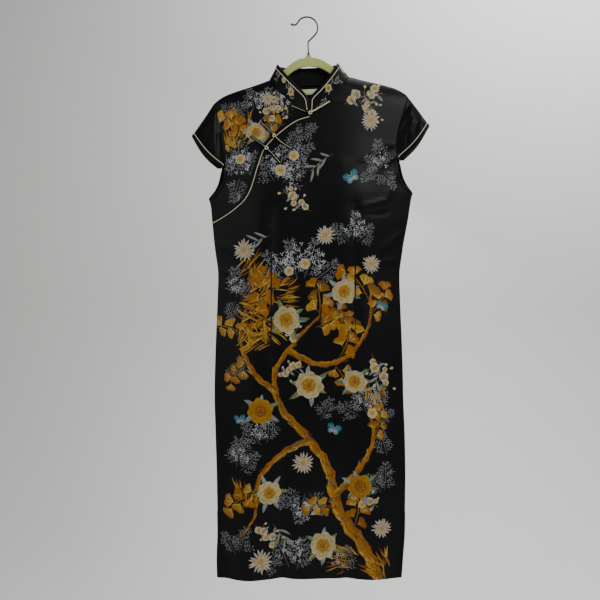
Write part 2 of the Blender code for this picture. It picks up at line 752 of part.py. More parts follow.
# ---------------------------------------------------------------- hanger
def hanger_top(x):
    """Top edge of the hanger: the arch at the neck, then just under the straight runs of the shoulder seam."""
    arms = [(a, z - HANGER_DROP) for a, z in SHOULDER_LINE[1:]]
    if x <= HANGER_TOP[-1][0]:
        return read(HANGER_TOP, x, 1)
    run = [HANGER_TOP[-1], *arms]
    k = max(i for i in range(len(run) - 1) if run[i][0] <= x)
    return mix(run[k][1], run[k + 1][1], (x - run[k][0]) / (run[k + 1][0] - run[k][0]))


def hanger(finish):
    """A slim flocked hanger: arms and bar in one loop, a tie bar across it, and a boss for the hook."""
    half = [(0.0, BOSS_TOP_Z, 0.0, -0.1045), (0.0050, BOSS_TOP_Z - 0.0004, 0.0050, -0.1046)]
    arm = [x for x, z in SHOULDER_LINE[1:-2]]
    for x in (0.0062, 0.013, 0.020, 0.033, 0.048, 0.062, 0.078, 0.090, *arm, 0.196):
        inner = x * 0.925
        half.append((x, hanger_top(x), inner, hanger_top(max(inner, 0.0062)) - HANGER_BAND))
        root = len(half) if x <= 0.090 else root
    half += HANGER_END
    half += [(0.1890 * t, BAR_BOTTOM_Z, 0.1750 * t, BAR_TOP_Z) for t in (0.75, 0.5, 0.25)]
    ring = half + [(0.0, BAR_BOTTOM_Z, 0.0, BAR_TOP_Z)]
    ring += [(-x, z, -u, v) for x, z, u, v in half[:0:-1]]
    rows = [[hung(x, 0.0, z), hung(u, 0.0, v)] for x, z, u, v in ring]
    made = add_object("hanger_body", bpy.data.meshes.new("hanger_body"), finish)
    work = bmesh.new()
    loop = [[work.verts.new(point) for point in row] for row in rows]
    tie = [(s * x, z, s * u, v) for s, x, z, u, v in TIE_BAR]
    cross = [[work.verts.new(hung(x, 0.0, z)), work.verts.new(hung(u, 0.0, v))] for x, z, u, v in tie]
    cross = [[loop[root - 1][1], loop[root][1]], *cross, [loop[1 - root][1], loop[-root][1]]]
    for (a, b), (c, d) in [*zip(loop, loop[1:] + loop[:1]), *zip(cross, cross[1:])]:
        work.faces.new((a, b, d, c))
    bmesh.ops.recalc_face_normals(work, faces=work.faces)
    bmesh.ops.triangulate(work, faces=work.faces, quad_method="FIXED")
    work.to_mesh(made.data)
    work.free()
    solid = made.modifiers.new("wall", "SOLIDIFY")
    solid.thickness = HANGER_WALL
    solid.offset = 0.0
    rounding = made.modifiers.new("rounding", "BEVEL")
    rounding.width = 0.0017
    rounding.segments = 2
    rounding.limit_method = "ANGLE"
    rounding.angle_limit = math.radians(60)


def hook(finish):
    """The wire hook: a stem, an arc over the peg and a tip that flares out."""
    centre_z = WIRE / 2 - HOOK_RADIUS
    arc = [math.radians(degrees) for degrees in range(-50, 136, 5)]
    line = [*HOOK_START, *((HOOK_RADIUS * math.cos(a), centre_z + HOOK_RADIUS * math.sin(a)) for a in arc), *HOOK_TIP]
    cord("hanger_hook", [hung(x, 0.0, z) for x, z in along(line, 44)], WIRE, finish, sides=2)


# ---------------------------------------------------------------- the whole dress
def main():
    for old in list(bpy.data.objects):
        bpy.data.objects.remove(old)
    satin = material("black_satin", SATIN, 0.42)
    cream = material("cream_piping", CREAM, 0.55)
    flock = material("green_flock", GREEN, 0.9)
    steel = material("hook_steel", STEEL, 0.3, 1.0)

    front = front_panel(satin)
    lap = underlap(satin)
    back = back_panel(satin)
    caps = sleeves(satin)
    band = collar(satin)
    trims(front, lap, back, caps, band, satin, cream)
    frogs(Face(front, lap, band), satin)
    hanger(flock)
    hook(steel)


main()
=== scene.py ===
import json
import math
import random

import bmesh
import bpy
import numpy as np
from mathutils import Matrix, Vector, geometry
from mathutils.bvhtree import BVHTree

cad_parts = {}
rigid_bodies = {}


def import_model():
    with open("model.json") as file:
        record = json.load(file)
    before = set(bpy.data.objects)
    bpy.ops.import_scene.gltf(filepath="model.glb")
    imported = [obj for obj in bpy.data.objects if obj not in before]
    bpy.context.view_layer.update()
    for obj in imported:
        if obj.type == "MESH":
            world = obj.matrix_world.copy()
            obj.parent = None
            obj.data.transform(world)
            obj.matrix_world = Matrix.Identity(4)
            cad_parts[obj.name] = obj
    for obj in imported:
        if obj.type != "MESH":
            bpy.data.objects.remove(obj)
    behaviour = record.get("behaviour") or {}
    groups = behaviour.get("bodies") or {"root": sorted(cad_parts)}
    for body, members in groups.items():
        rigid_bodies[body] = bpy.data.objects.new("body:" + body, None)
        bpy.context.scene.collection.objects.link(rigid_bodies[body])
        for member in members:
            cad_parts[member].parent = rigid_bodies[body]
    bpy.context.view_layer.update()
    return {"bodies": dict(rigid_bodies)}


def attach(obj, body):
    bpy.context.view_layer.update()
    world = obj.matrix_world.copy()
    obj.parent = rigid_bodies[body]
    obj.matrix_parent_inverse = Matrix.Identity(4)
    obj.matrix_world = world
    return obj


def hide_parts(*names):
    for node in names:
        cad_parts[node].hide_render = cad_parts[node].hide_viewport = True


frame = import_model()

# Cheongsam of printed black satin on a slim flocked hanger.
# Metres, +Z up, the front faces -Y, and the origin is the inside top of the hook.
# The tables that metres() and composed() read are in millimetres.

body = list(frame["bodies"])[0]

camera = {"place": (-0.014, -1.450, -0.606), "lens": 40.5, "sensor": 36.0, "nearest": 0.05}
studio = {
    "floor": -1.95, "back": 2.9, "front": -4.5, "top": 4.0, "side": 7.0, "sweep": 1.3, "sweepSteps": 12,
    "tone": (0.80, 0.80, 0.79), "rough": 0.9, "sky": (0.93, 0.94, 0.96), "world": 0.13,
}
white = (1.0, 1.0, 1.0)
lights = [  # name, place, aim, size, power, tint
    ("key", (1.7, -2.4, 1.1), (0.0, 0.0, -0.5), (1.3, 1.3), 62.0, (1.0, 0.98, 0.95)),
    ("fill", (-2.2, -2.2, 0.2), (0.0, 0.0, -0.6), (2.0, 2.0), 22.0, white),
    ("rear", (0.8, 2.3, 0.9), (0.0, 0.0, -0.6), (1.8, 1.8), 40.0, white),
    ("wash", (1.8, 1.1, 2.4), (1.2, 2.9, 0.7), (2.4, 1.0), 120.0, white),
]


def linked(name, data):
    made = bpy.data.objects.new(name, data)
    bpy.context.scene.collection.objects.link(made)
    return made


def setInputs(node, values):
    for name, value in values.items():
        node.inputs[name].default_value = value


def newMaterial(name, values):
    made = bpy.data.materials.new(name)
    made.use_nodes = True
    shader = made.node_tree.nodes["Principled BSDF"]
    setInputs(shader, values)
    return made, made.node_tree, shader


# camera, floor and light
def makeCamera():
    data = bpy.data.cameras.new("camera")
    data.lens, data.sensor_width, data.clip_start = camera["lens"], camera["sensor"], camera["nearest"]
    made = linked("camera", data)
    made.location = camera["place"]
    made.rotation_euler = (math.pi / 2, 0.0, 0.0)
    bpy.context.scene.camera = made


def areaLight(name, place, aim, size, power, tint):
    data = bpy.data.lights.new(name, "AREA")
    data.shape = "RECTANGLE"
    data.size, data.size_y = size
    data.energy, data.color = power, tint
    made = linked(name, data)
    made.location = place
    made.rotation_euler = (Vector(aim) - Vector(place)).to_track_quat("-Z", "Y").to_euler()


def makeStudio():
    low, back, sweep, steps = (studio[key] for key in ("floor", "back", "sweep", "sweepSteps"))
    profile = [(studio["front"], low), (back - sweep, low)]
    for i in range(1, steps + 1):
        turn = i / steps * math.pi / 2
        profile.append((back - sweep + sweep * math.sin(turn), low + sweep - sweep * math.cos(turn)))
    profile.append((back, studio["top"]))
    mesh = bpy.data.meshes.new("floor")
    points = [(x, y, z) for y, z in profile for x in (-studio["side"], studio["side"])]
    mesh.from_pydata(points, [], [(2 * i, 2 * i + 1, 2 * i + 3, 2 * i + 2) for i in range(len(profile) - 1)])
    mesh.shade_smooth()
    values = {"Base Color": (*studio["tone"], 1.0), "Roughness": studio["rough"]}
    mesh.materials.append(newMaterial("pale floor", values)[0])
    linked("floor", mesh)
    world = bpy.context.scene.world or bpy.data.worlds.new("world")
    bpy.context.scene.world = world
    world.use_nodes = True
    values = {"Color": (*studio["sky"], 1.0), "Strength": studio["world"]}
    setInputs(world.node_tree.nodes["Background"], values)
    for light in lights:
        areaLight(*light)


makeCamera()
makeStudio()
print("camera, floor and light are in place")


# sizes of the garment, in metres
dress = {
    "cloth": 0.0013,
    "tilt": 0.045,  # the hanger hangs a little low on the wearer's right
    "steady": -0.200,  # below this the cloth hangs straight down
    "levelFrom": -0.50,  # from here up the shoulders lean with the hanger, wholly so 0.2 m higher
    "levelOver": 0.20,
    "neckHalf": 0.087,
    "neckSide": -0.131,
    "frontNeck": 0.081,
    "backNeck": 0.011,
    "underarm": -0.382,
    "underarmHalf": 0.219,
    "hem": -1.200,
    "slitTop": -1.065,
    "slitSpread": 0.004,
    "overlap": 0.024,
    "layBehind": 0.0023,
    "edgeGap": 0.0006,
    "shoulderRound": 0.036,
    "dartPrint": 0.0030,
    "dartDepth": 0.0011,
    "dartHalf": 0.0022,
    "puckerDepth": 0.00010,
    "puckerHalf": 0.010,
}
bodyLine = [  # z, half width, how far the middle strays
    (-382, 219, 0), (-400, 214.5, 0), (-430, 210.8, -1), (-500, 201, -4), (-554, 194.6, -4),
    (-620, 196.5, -4), (-700, 199.8, -4), (-800, 202.4, -4), (-900, 203, -1), (-1000, 202.2, 1),
    (-1100, 200.4, 1), (-1160, 199, -2), (-1200, 196.8, -3),
]
armholeLine = [  # z, half width at the front, at the back
    (-176, 207, 207), (-215, 196, 200), (-255, 184.5, 192), (-290, 181, 189), (-320, 184, 192.5),
    (-345, 188, 197.5), (-363, 197, 205), (-374, 208, 212.5), (-382, 219, 219),
]
shoulderLine = [
    (87, -131), (120, -141.5), (155, -151), (186, -162), (207, -176),
]
depthLine = [  # z, how far the middle of the front stands out, and of the back
    (-130, 20, 12), (-210, 23, 13), (-300, 25.5, 15), (-400, 30, 17.5), (-480, 29, 15.5), (-560, 25.5, 14),
    (-700, 26.5, 16), (-900, 25, 18), (-1050, 18, 16), (-1200, 9, 11),
]
heldLine = [  # drop below the shoulder seam, outer face round the hanger's arm
    (0, 1.2), (2.5, 4.3), (6, 4.9), (36, 5), (120, 3.2), (200, 1.45),
]
flapLine = [  # x, z of the lapped edge, from the neck to the side seam
    (-6, -211.8), (-37, -221.5), (-75, -247.8), (-104.2, -277.8), (-118.4, -313.4), (-127.3, -344),
    (-135.2, -367.5), (-146.8, -386.6), (-168.5, -405.2), (-191.2, -420), (-212, -431),
]
frontFolds = [  # x0, z0, x1, z1, half width, height at start, at end
    (-118, -600, -147, -1300, 50, 1, 26), (118, -600, 150, -1300, 48, 1, 19),
    (-12, -760, -20, -1300, 40, 0, 5), (-90, -395, -92, -425, 58, 6, 6), (94, -390, 96, -420, 58, 6, 6),
    (-84, -420, -84, -760, 14, -3.5, -2.5), (94, -420, 94, -700, 14, -3, -2),
]
backFolds = [
    (-85, -560, -100, -1300, 45, 1, 11), (90, -560, 105, -1300, 45, 1, 12),
    (-80, -380, -80, -740, 15, -3, -2), (80, -380, 80, -740, 15, -3, -2), (0, -300, 0, -900, 30, -2, -4),
]
# Smaller creases of the satin, laid over the folds above.
frontCreases = [
    (170, -285, 105, -318, 4.2, 3.6, 1), (166, -294, 108, -326, 4, -2.6, -0.6),
    (176, -310, 120, -350, 6, 2.8, 0.5), (184, -345, 150, -420, 8, 2.2, 0.3),
    (150, -400, 98, -412, 5.5, 1.8, 0.4), (160, -424, 108, -430, 5, -1.4, -0.3),
    (36, -180, 70, -190, 5, 1.4, 0.2), (-20, -300, 60, -318, 12, 0.8, 1.4),
    (188, -470, 150, -500, 8, 2, 0.3), (185, -520, 140, -528, 6.5, 1.8, 0.2),
    (-186, -490, -140, -520, 8, 2, 0.3), (-184, -545, -130, -552, 6, 1.8, 0.2),
    (30, -560, 32, -900, 18, -1.2, -3), (-48, -700, -62, -1220, 16, -2, -7),
    (70, -760, 78, -1220, 15, -1.6, -5), (-176, -800, -182, -1220, 12, -1, -4),
]
backCreases = [
    (-168, -300, -100, -330, 8, 2.2, 0.4), (170, -290, 110, -326, 8, 2.4, 0.4),
    (178, -500, 120, -520, 7.5, 1.8, 0.3), (-180, -515, -130, -530, 7, 1.8, 0.3),
    (-60, -175, 55, -182, 8, 1, 1.3), (40, -640, 48, -1220, 17, -1.2, -4.4),
    (-44, -700, -46, -1220, 17, -1, -4.8), (160, -780, 168, -1220, 14, -1, -3.6),
]
frontDarts = [(-84, -420, -760), (94, -420, -700)]  # x, top and bottom
backDarts = [(-80, -380, -740), (80, -380, -740)]


def metres(rows):
    return [tuple(value / 1000 for value in row) for row in rows]


bodyLine, armholeLine, shoulderLine, depthLine, heldLine, flapLine = (
    metres(rows) for rows in (bodyLine, armholeLine, shoulderLine, depthLine, heldLine, flapLine)
)
frontFolds, backFolds, frontCreases, backCreases, frontDarts, backDarts = (
    metres(rows) for rows in (frontFolds, backFolds, frontCreases, backCreases, frontDarts, backDarts)
)


def mix(a, b, t):
    return a + (b - a) * t


def smooth(t):
    t = np.clip(t, 0.0, 1.0)
    return t * t * (3 - 2 * t)


def unit(ways):
    return ways / np.linalg.norm(ways, axis=-1)[..., None]


def columns(*parts):
    return np.stack(parts, axis=-1)


def runOf(line):  # how far along a line each of its points lies
    return np.concatenate([[0.0], np.cumsum(np.linalg.norm(np.diff(line, axis=0), axis=1))])


def averaged(values, reach):  # the mean of each value and its neighbours
    width = 2 * reach + 1
    return np.convolve(np.pad(values, reach, mode="edge"), np.ones(width) / width, mode="valid")


def spaced(values, count):  # a short list of values drawn out to a longer one
    return np.interp(np.linspace(0, 1, count), np.linspace(0, 1, len(values)), values)


def curveOf(rows, column=1):  # a smooth curve through a table, that never overshoots
    rows = np.array(sorted(rows))
    at, value = rows[:, 0], rows[:, column]
    rise = np.diff(value) / np.diff(at)
    slope = np.concatenate([rise[:1], np.zeros(len(rows) - 2), rise[-1:]])
    for i in range(1, len(rows) - 1):
        if rise[i - 1] * rise[i] > 0:
            slope[i] = 2 * rise[i - 1] * rise[i] / (rise[i - 1] + rise[i])

    def read(x):
        x = np.clip(np.asarray(x, float), at[0], at[-1])
        k = np.clip(np.searchsorted(at, x, side="right") - 1, 0, len(at) - 2)
        step = at[k + 1] - at[k]
        t = (x - at[k]) / step
        start, end = slope[k] * step, slope[k + 1] * step
        low, rises = value[k], value[k + 1] - value[k]
        return low + t * (start + t * (3 * rises - 2 * start - end + t * (start + end - 2 * rises)))

    return read


def evenly(line, count, run=None):  # points at even spacing on straight runs
    line = np.asarray(line, float)
    run = runOf(line) if run is None else run
    want = np.linspace(0.0, run[-1], count)
    return columns(*(np.interp(want, run, part) for part in line.T))


def smoothLine(points, count):  # points at even spacing on a smooth curve
    points = np.asarray(points, float)
    ends = np.vstack([points[:1], points, points[-1:]])
    line = []
    for p, q, r, s in zip(ends, ends[1:], ends[2:], ends[3:]):
        square, cube = 2 * p - 5 * q + 4 * r - s, 3 * q - p - 3 * r + s
        for i in range(24):
            t = i / 24
            line.append(0.5 * (2 * q + t * (r - p + t * (square + t * cube))))
    line.append(points[-1])
    return evenly(line, count)


halfAt, swayAt = curveOf(bodyLine, 1), curveOf(bodyLine, 2)
armholeFront, armholeBack = curveOf(armholeLine, 1), curveOf(armholeLine, 2)
shoulderAt, heldAt = curveOf(shoulderLine), curveOf(heldLine)
frontDepth, backDepth = curveOf(depthLine, 1), curveOf(depthLine, 2)


def hung(x, y, z):  # from the upright garment to where it hangs
    x, y, z = np.broadcast_arrays(np.asarray(x, float), np.asarray(y, float), np.asarray(z, float))
    held = smooth((z - dress["levelFrom"]) / dress["levelOver"])
    return columns(x + dress["tilt"] * np.minimum(-z, -dress["steady"]), y, z + dress["tilt"] * held * x)


def bodyHalf(z):
    return np.where(z > dress["underarm"], dress["underarmHalf"], halfAt(z))


def bodySway(z):
    return np.where(z > dress["underarm"], 0.0, swayAt(z))


def edgeOf(z, side, armhole):
    return np.where(z > dress["underarm"], side * armhole(z), side * halfAt(z) + swayAt(z))


def shoulderHeight(x):
    x, (neckX, neckZ) = np.abs(x), shoulderLine[0]
    return np.where(x < neckX, neckZ + 0.40 * (neckX - x), shoulderAt(x))


def foldHeight(folds, x, z):
    total = np.zeros(np.broadcast(x, z).shape)
    for x0, z0, x1, z1, half, start, end in folds:
        dx, dz = x1 - x0, z1 - z0
        length = math.hypot(dx, dz)
        t = ((x - x0) * dx + (z - z0) * dz) / length**2
        across = np.abs((x - x0) * dz - (z - z0) * dx) / length
        beyond = np.maximum(np.maximum(-t, t - 1), 0.0) * length
        fade = np.exp(-((across / half) ** 2) - (beyond / (1.6 * half)) ** 2)
        total += mix(start, end, np.clip(t, 0.0, 1.0)) * fade
    return total


def creaseHeight(creases, darts, x, z):  # small creases, and the sewn line of each dart
    total = foldHeight(creases, x, z)
    for at, top, bottom in darts:
        along = smooth((top + 0.03 - z) / 0.05) * smooth((z - bottom + 0.03) / 0.06)
        total -= dress["dartDepth"] * along * np.exp(-(((x - at) / dress["dartHalf"]) ** 2))
        pucker = np.sin(z * 900 + 3 * np.sin(z * 170)) * np.exp(-(((x - at) / dress["puckerHalf"]) ** 2))
        total += dress["puckerDepth"] * along * pucker
    return total


def standOff(x, z, depth, folds, creases, darts):
    u = np.minimum(np.abs((x - bodySway(z)) / bodyHalf(z)), 1.0)
    drop = np.maximum(shoulderHeight(x) - z, 0.0)
    rounded = 1 - (1 - np.minimum(drop / dress["shoulderRound"], 1.0)) ** 2
    slit = np.maximum(dress["slitTop"] - z, 0.0) / (dress["slitTop"] - dress["hem"]) * dress["slitSpread"]
    full = depth(z) * (1 - u**2.4) + foldHeight(folds, x, z) * (1 - u**4)
    fine = creaseHeight(creases, darts, x, z) * (1 - u**8) * smooth((drop - 0.03) / 0.04)
    return heldAt(drop) + slit * u**6 + rounded * full + fine


def frontY(x, z):
    return -standOff(x, z, frontDepth, frontFolds, frontCreases, frontDarts)


def underlapY(x, z):
    below = np.clip((shoulderHeight(x) - z) / 0.03, 0.0, 1.0)
    inside = np.clip((bodyHalf(z) - np.abs(x - bodySway(z))) / 0.020, 0.0, 1.0)
    return frontY(x, z) + dress["layBehind"] * below * inside


def backY(x, z):
    return standOff(x, z, backDepth, backFolds, backCreases, backDarts)


# printed design: flat shapes with a colour at their heart and one at their rim
ink = {
    "gold": (0.39, 0.20, 0.012), "amber": (0.29, 0.088, 0.005), "rust": (0.13, 0.046, 0.010),
    "honey": (0.52, 0.34, 0.05), "cream": (0.50, 0.47, 0.25), "white": (0.48, 0.50, 0.45),
    "silver": (0.25, 0.265, 0.29), "slate": (0.080, 0.090, 0.105), "pale": (0.50, 0.51, 0.52),
    "ground": (0.0044, 0.0046, 0.0056), "sage": (0.15, 0.18, 0.08), "teal": (0.025, 0.13, 0.14),
    "blue": (0.02, 0.18, 0.33), "moss": (0.19, 0.17, 0.02),
}
leafInks = [("sage", "silver"), ("teal", "sage"), ("moss", "sage"), ("slate", "silver")]
fanInks = (("honey", "amber"), ("gold", "rust"), ("honey", "gold"), ("gold", "amber"))
tuftInks = (
    ("gold", "amber"), ("honey", "gold"), ("rust", "amber"), ("gold", "honey"), ("moss", "gold"),
    ("amber", "rust"),
)
barkDark = ("rust", "rust", "ground", "slate", "amber", "moss")
barkLight = ("honey", "amber", "cream", "honey", "rust", "gold")
printNoise = random.Random(11)
vary = printNoise.uniform


def tone(name, spread=0.12):
    lift = 1 + vary(-spread, spread)
    return tuple(min(c * lift, 1.0) for c in ink[name])


def inks(heart, rim, spread=0.12):
    return tone(heart, spread), tone(rim, spread)


def ray(angle):
    return np.array([math.cos(angle), math.sin(angle)])


def beside(angle):
    return np.array([-math.sin(angle), math.cos(angle)])


def shape(points, colours, centre=None, reach=None, power=1.0):
    points = np.asarray(points, float)
    if centre is None:
        centre = points.mean(axis=0)
    if reach is None:
        reach = np.linalg.norm(points - centre, axis=1).max()
    heart, rim = colours
    return {"points": points, "heart": heart, "rim": rim, "centre": centre, "reach": reach, "power": power}


def stroke(start, angle, length, width, colours, bend=0.0, tip=0.15, steps=4):  # a tapered brush stroke
    left, right, spot, way = [], [], start, angle
    for i in range(steps + 1):
        t = i / steps
        half = width / 2 * (tip + (1 - tip) * math.sin(math.pi * min(0.12 + 0.88 * t, 1.0)) ** 0.8)
        left.append(spot + beside(way) * half)
        right.append(spot - beside(way) * half)
        spot = spot + ray(way) * length / steps
        way += bend / steps
    return shape(left + right[::-1], colours, start, length)


def petal(base, angle, length, width, colours, notch=0.0, power=1.2):
    left, right = [], []
    for t, w in ((0.0, 0.16), (0.26, 0.62), (0.52, 0.98), (0.74, 0.90), (0.90, 0.52)):
        wave = 1 + vary(-0.06, 0.06)
        left.append(base + ray(angle) * length * t + beside(angle) * width / 2 * w * wave)
        right.append(base + ray(angle) * length * t - beside(angle) * width / 2 * w * wave)
    top = [base + ray(angle) * length * (1 - notch)]
    return shape(left + top + right[::-1], colours, base, length, power)


def dash(start, angle, length, width, heart, rim):  # a single dab of the brush
    middle, across = start + ray(angle) * length * 0.6, beside(angle) * width / 2
    points = [start, middle - across, start + ray(angle) * length, middle + across]
    return shape(points, inks(heart, rim), start, length)


def fleck(start, angle, length, width, colours):  # the smallest dab, blunt at its far end
    end, across = start + length * ray(angle), beside(angle) * width / 2
    return shape([start, end - across, end + across], colours, start, length)


def leaf(base, angle, length, width, heart, rim):
    colours, vein = inks(heart, rim), tone("pale")
    blade = stroke(base, angle, length, width, colours, vary(-0.4, 0.4), 0.04, 6)
    return [blade, stroke(base, angle, length * 0.86, width * 0.09, (vein, vein), 0.0, 0.3, 3)]


def peony(centre, radius, deep="amber", mid="gold", outer="cream"):
    made, start = [], vary(0, 6)
    for i in range(6):  # leaves behind the bloom
        angle = start + i * 1.05 + vary(-0.2, 0.2)
        colours = printNoise.choice(leafInks)
        made += leaf(centre, angle, radius * vary(1.3, 1.75), radius * 0.42, *colours)
    rings = ((8, 1.0, 0.70, 0.30, outer), (7, 0.74, 0.60, 0.18, outer), (6, 0.48, 0.44, 0.04, mid))
    for ring, (count, share, wide, root, rim) in enumerate(rings):
        for i in range(count):
            angle = start + ring * 0.37 + i * 2 * math.pi / count + vary(-0.08, 0.08)
            reach = radius * share * vary(0.90, 1.08)
            colours, base = inks(deep, rim), centre + radius * root * ray(angle)
            length = reach - radius * root
            made.append(petal(base, angle, length, radius * wide, colours, vary(-0.06, 0.08), 0.9))
            for k in (-0.22, 0.0, 0.20):  # veins and shading
                name = printNoise.choice((deep, mid, "slate", "rust") if k < 0 else (mid, outer, "honey"))
                spot = centre + reach * 0.36 * ray(angle + k * 0.5)
                made.append(dash(spot, angle + k, reach * vary(0.34, 0.52), radius * 0.060, name, mid))
    for i in range(9):  # stamens
        angle = i * 2 * math.pi / 9 + start
        spot = centre + radius * 0.06 * ray(angle)
        made.append(dash(spot, angle, radius * 0.26, radius * 0.06, "rust", "honey"))
    return made


def chrysanthemum(centre, radius):
    made = []
    for ring, (count, share, root) in enumerate(((17, 1.0, 0.30), (13, 0.74, 0.20), (9, 0.48, 0.06))):
        for i in range(count):
            angle = ring * 0.21 + i * 2 * math.pi / count + vary(-0.08, 0.08)
            length = radius * share * vary(0.86, 1.10) - radius * root
            bend, base = vary(-0.35, 0.35), centre + radius * root * ray(angle)
            made.append(stroke(base, angle, length, radius * 0.19, inks("gold", "white"), bend, 0.25, 3))
            made.append(dash(base, angle + bend * 0.3, length * 0.62, radius * 0.035, "rust", "gold"))
    for i in range(6):  # the eye
        dot = [centre + radius * 0.08 * ray(i) + radius * 0.06 * ray(k * math.pi / 3) for k in range(6)]
        made.append(shape(dot, inks("honey", "honey")))
    return made


def plumBlossom(centre, radius):
    made, start = [], vary(0, 6)
    for i in range(5):
        angle = start + i * 2 * math.pi / 5
        made.append(petal(centre, angle, radius, radius * 0.95, inks("honey", "white"), 0.08, 2.0))
    for i in range(5):
        made.append(dash(centre, start + 0.6 + i * 1.26, radius * 0.5, radius * 0.10, "rust", "amber"))
    return made


def frond(root, length, angle):  # a feathery spray
    made = [stroke(root, angle, length, length * 0.022, inks("slate", "silver"), 0.15, 0.3, 4)]
    for i in range(6):
        t = 0.08 + 0.90 * i / 6
        spot = root + ray(angle + 0.07 * t) * length * t
        for side in (-1, 1):
            branch = angle + side * (0.95 - 0.35 * t) + vary(-0.16, 0.16)
            reach = length * (0.50 - 0.38 * t) * vary(0.70, 1.15)
            made.append(dash(spot, branch, reach, length * 0.018, "slate", "silver"))
            for k in range(3):
                at = spot + ray(branch) * reach * (0.30 + 0.28 * k)
                for turn in (-0.75, 0.65):
                    way = branch + turn + vary(-0.25, 0.25)
                    made.append(fleck(at, way, reach * 0.25, length * 0.016, inks("silver", "pale", 0.35)))
    return made


def cluster(centre, radius):  # a loose head of tiny florets
    made = []
    for _ in range(int(14 * (radius / 0.022) ** 2)):
        angle, far = vary(0, 2 * math.pi), radius * math.sqrt(printNoise.random())
        spot, start = centre + far * ray(angle), vary(0, 3)
        for k in range(3):
            colours = tone("white", 0.2), tone("pale", 0.3)
            made.append(fleck(spot, start + k * 2.1, 0.0038, 0.0034, colours))
    return made


def bough(points, widths):  # a gnarled branch with streaks of bark
    line = smoothLine(points, 6 * len(points))
    width = spaced(widths, len(line))
    way = unit(np.gradient(line, axis=0))
    across = columns(-way[:, 1], way[:, 0])
    left, right, made = [], [], []
    for i, (spot, side, w) in enumerate(zip(line, across, width)):
        left.append(spot + side * w / 2 * (1 + 0.28 * math.sin(i * 1.7) + vary(-0.12, 0.12)))
        right.append(spot - side * w / 2 * (1 + 0.24 * math.sin(i * 2.3 + 1) + vary(-0.12, 0.12)))
    for i in range(len(line) - 1):  # short runs, so that the colour can shift along it
        run = [left[i], left[i + 1], right[i + 1], right[i]]
        made.append(shape(run, inks("gold", "amber", 0.18), (left[i] + left[i + 1]) / 2, width[i] + 1e-4))
    for i in range(len(line) - 1):
        angle = math.atan2(way[i][1], way[i][0])
        for _ in range(9 if width[i] > 0.012 else 3):
            offset = vary(-0.46, 0.46)
            spot = line[i] + across[i] * width[i] * offset
            name = printNoise.choice(barkDark if offset < 0.22 else barkLight)
            lie, reach = angle + vary(-0.35, 0.35), vary(0.008, 0.020)
            made.append(dash(spot, lie, reach, max(width[i] * 0.085, 0.0012), name, name))
    return made


def ginkgo(base, angle, size, heart, rim):  # a fan leaf with streaks
    fan = [base]
    for i in range(11):
        turn = angle + mix(-0.95, 0.95, i / 10)
        reach = size * (1 - 0.16 * math.exp(-(((i - 5) / 1.1) ** 2)) - 0.10 * abs(i / 5 - 1) ** 2)
        fan.append(base + reach * vary(0.95, 1.05) * ray(turn))
    stem = base - size * 0.35 * ray(angle)
    made = [stroke(stem, angle, size * 0.4, size * 0.05, inks("rust", heart), 0.0, 0.6, 1)]
    made.append(shape(fan, inks(heart, rim), base, size))
    for i in range(6):
        turn = angle + mix(-0.80, 0.80, i / 5) + vary(-0.05, 0.05)
        name = printNoise.choice(("rust", "amber", "rust", "cream"))
        spot = base + size * 0.22 * ray(turn)
        made.append(dash(spot, turn, size * vary(0.45, 0.68), size * 0.055, name, name))
    return made


def ginkgoTwig(root, length, angle):  # fan leaves on a twig
    made = [stroke(root, angle, length, length * 0.030, inks("rust", "gold"), 0.5, 0.5, 5)]
    for i in range(6):
        t = (i + 0.6) / 6
        bend = angle + 0.25 * t
        lean = bend + (0.95 if i % 2 else -0.95) * (1 - 0.5 * t) + vary(-0.2, 0.2)
        size = length * vary(0.26, 0.34)
        at = root + length * t * ray(bend) + size * 0.4 * ray(lean)
        made += ginkgo(at, lean, size, *printNoise.choice(fanInks))
    return made


def tuft(root, length, angle):  # a swirl of short hatching strokes
    made = []
    for _ in range(30):
        aside, along = vary(-0.5, 0.5), vary(0.0, 1.0)
        lean = angle + 0.9 * aside + 0.5 * math.sin(3.0 * along) + vary(-0.2, 0.2)
        spot = root + length * (0.6 * along * ray(angle) + 0.8 * aside * beside(angle))
        pair = printNoise.choice(tuftInks)
        reach, width = length * vary(0.28, 0.50), length * vary(0.035, 0.060)
        made.append(stroke(spot, lean, reach, width, inks(*pair), vary(-0.5, 0.5), 0.1, 2))
    return made


def bamboo(root, length, angle):  # a twig of narrow leaves
    made = [stroke(root, angle, length, length * 0.022, inks("slate", "silver"), 0.3, 0.5, 4)]
    for i in range(6):
        t = 0.15 + 0.85 * i / 6
        spot = root + length * t * ray(angle + 0.15 * t)
        lean = angle + (0.75 if i % 2 else -0.75) + vary(-0.25, 0.25)
        made += leaf(spot, lean, length * vary(0.34, 0.50), length * 0.085, "sage", "silver")
    return made


def blossomTwig(root, length, angle):  # small flowers and buds on a twig
    made = [stroke(root, angle, length, length * 0.024, inks("rust", "gold"), -0.4, 0.5, 5)]
    for i in range(5):
        t = 0.2 + 0.8 * i / 5
        bend = angle - 0.2 * t
        spot = root + length * t * ray(bend)
        aside = spot + length * vary(-0.20, 0.20) * beside(bend)
        made += plumBlossom(aside, length * vary(0.075, 0.145))
        side = vary(0.7, 1.5) * (-1) ** i
        way = bend + side
        bud = spot + length * vary(0.16, 0.30) * ray(way)
        made.append(stroke(spot, way, length * 0.20, length * 0.014, inks("rust", "sage"), 0.0, 0.5, 2))
        made.append(petal(bud, way, length * 0.10, length * 0.07, inks("honey", "white")))
        made += leaf(spot, bend - side, length * 0.20, length * 0.07, "slate", "silver")
    return made


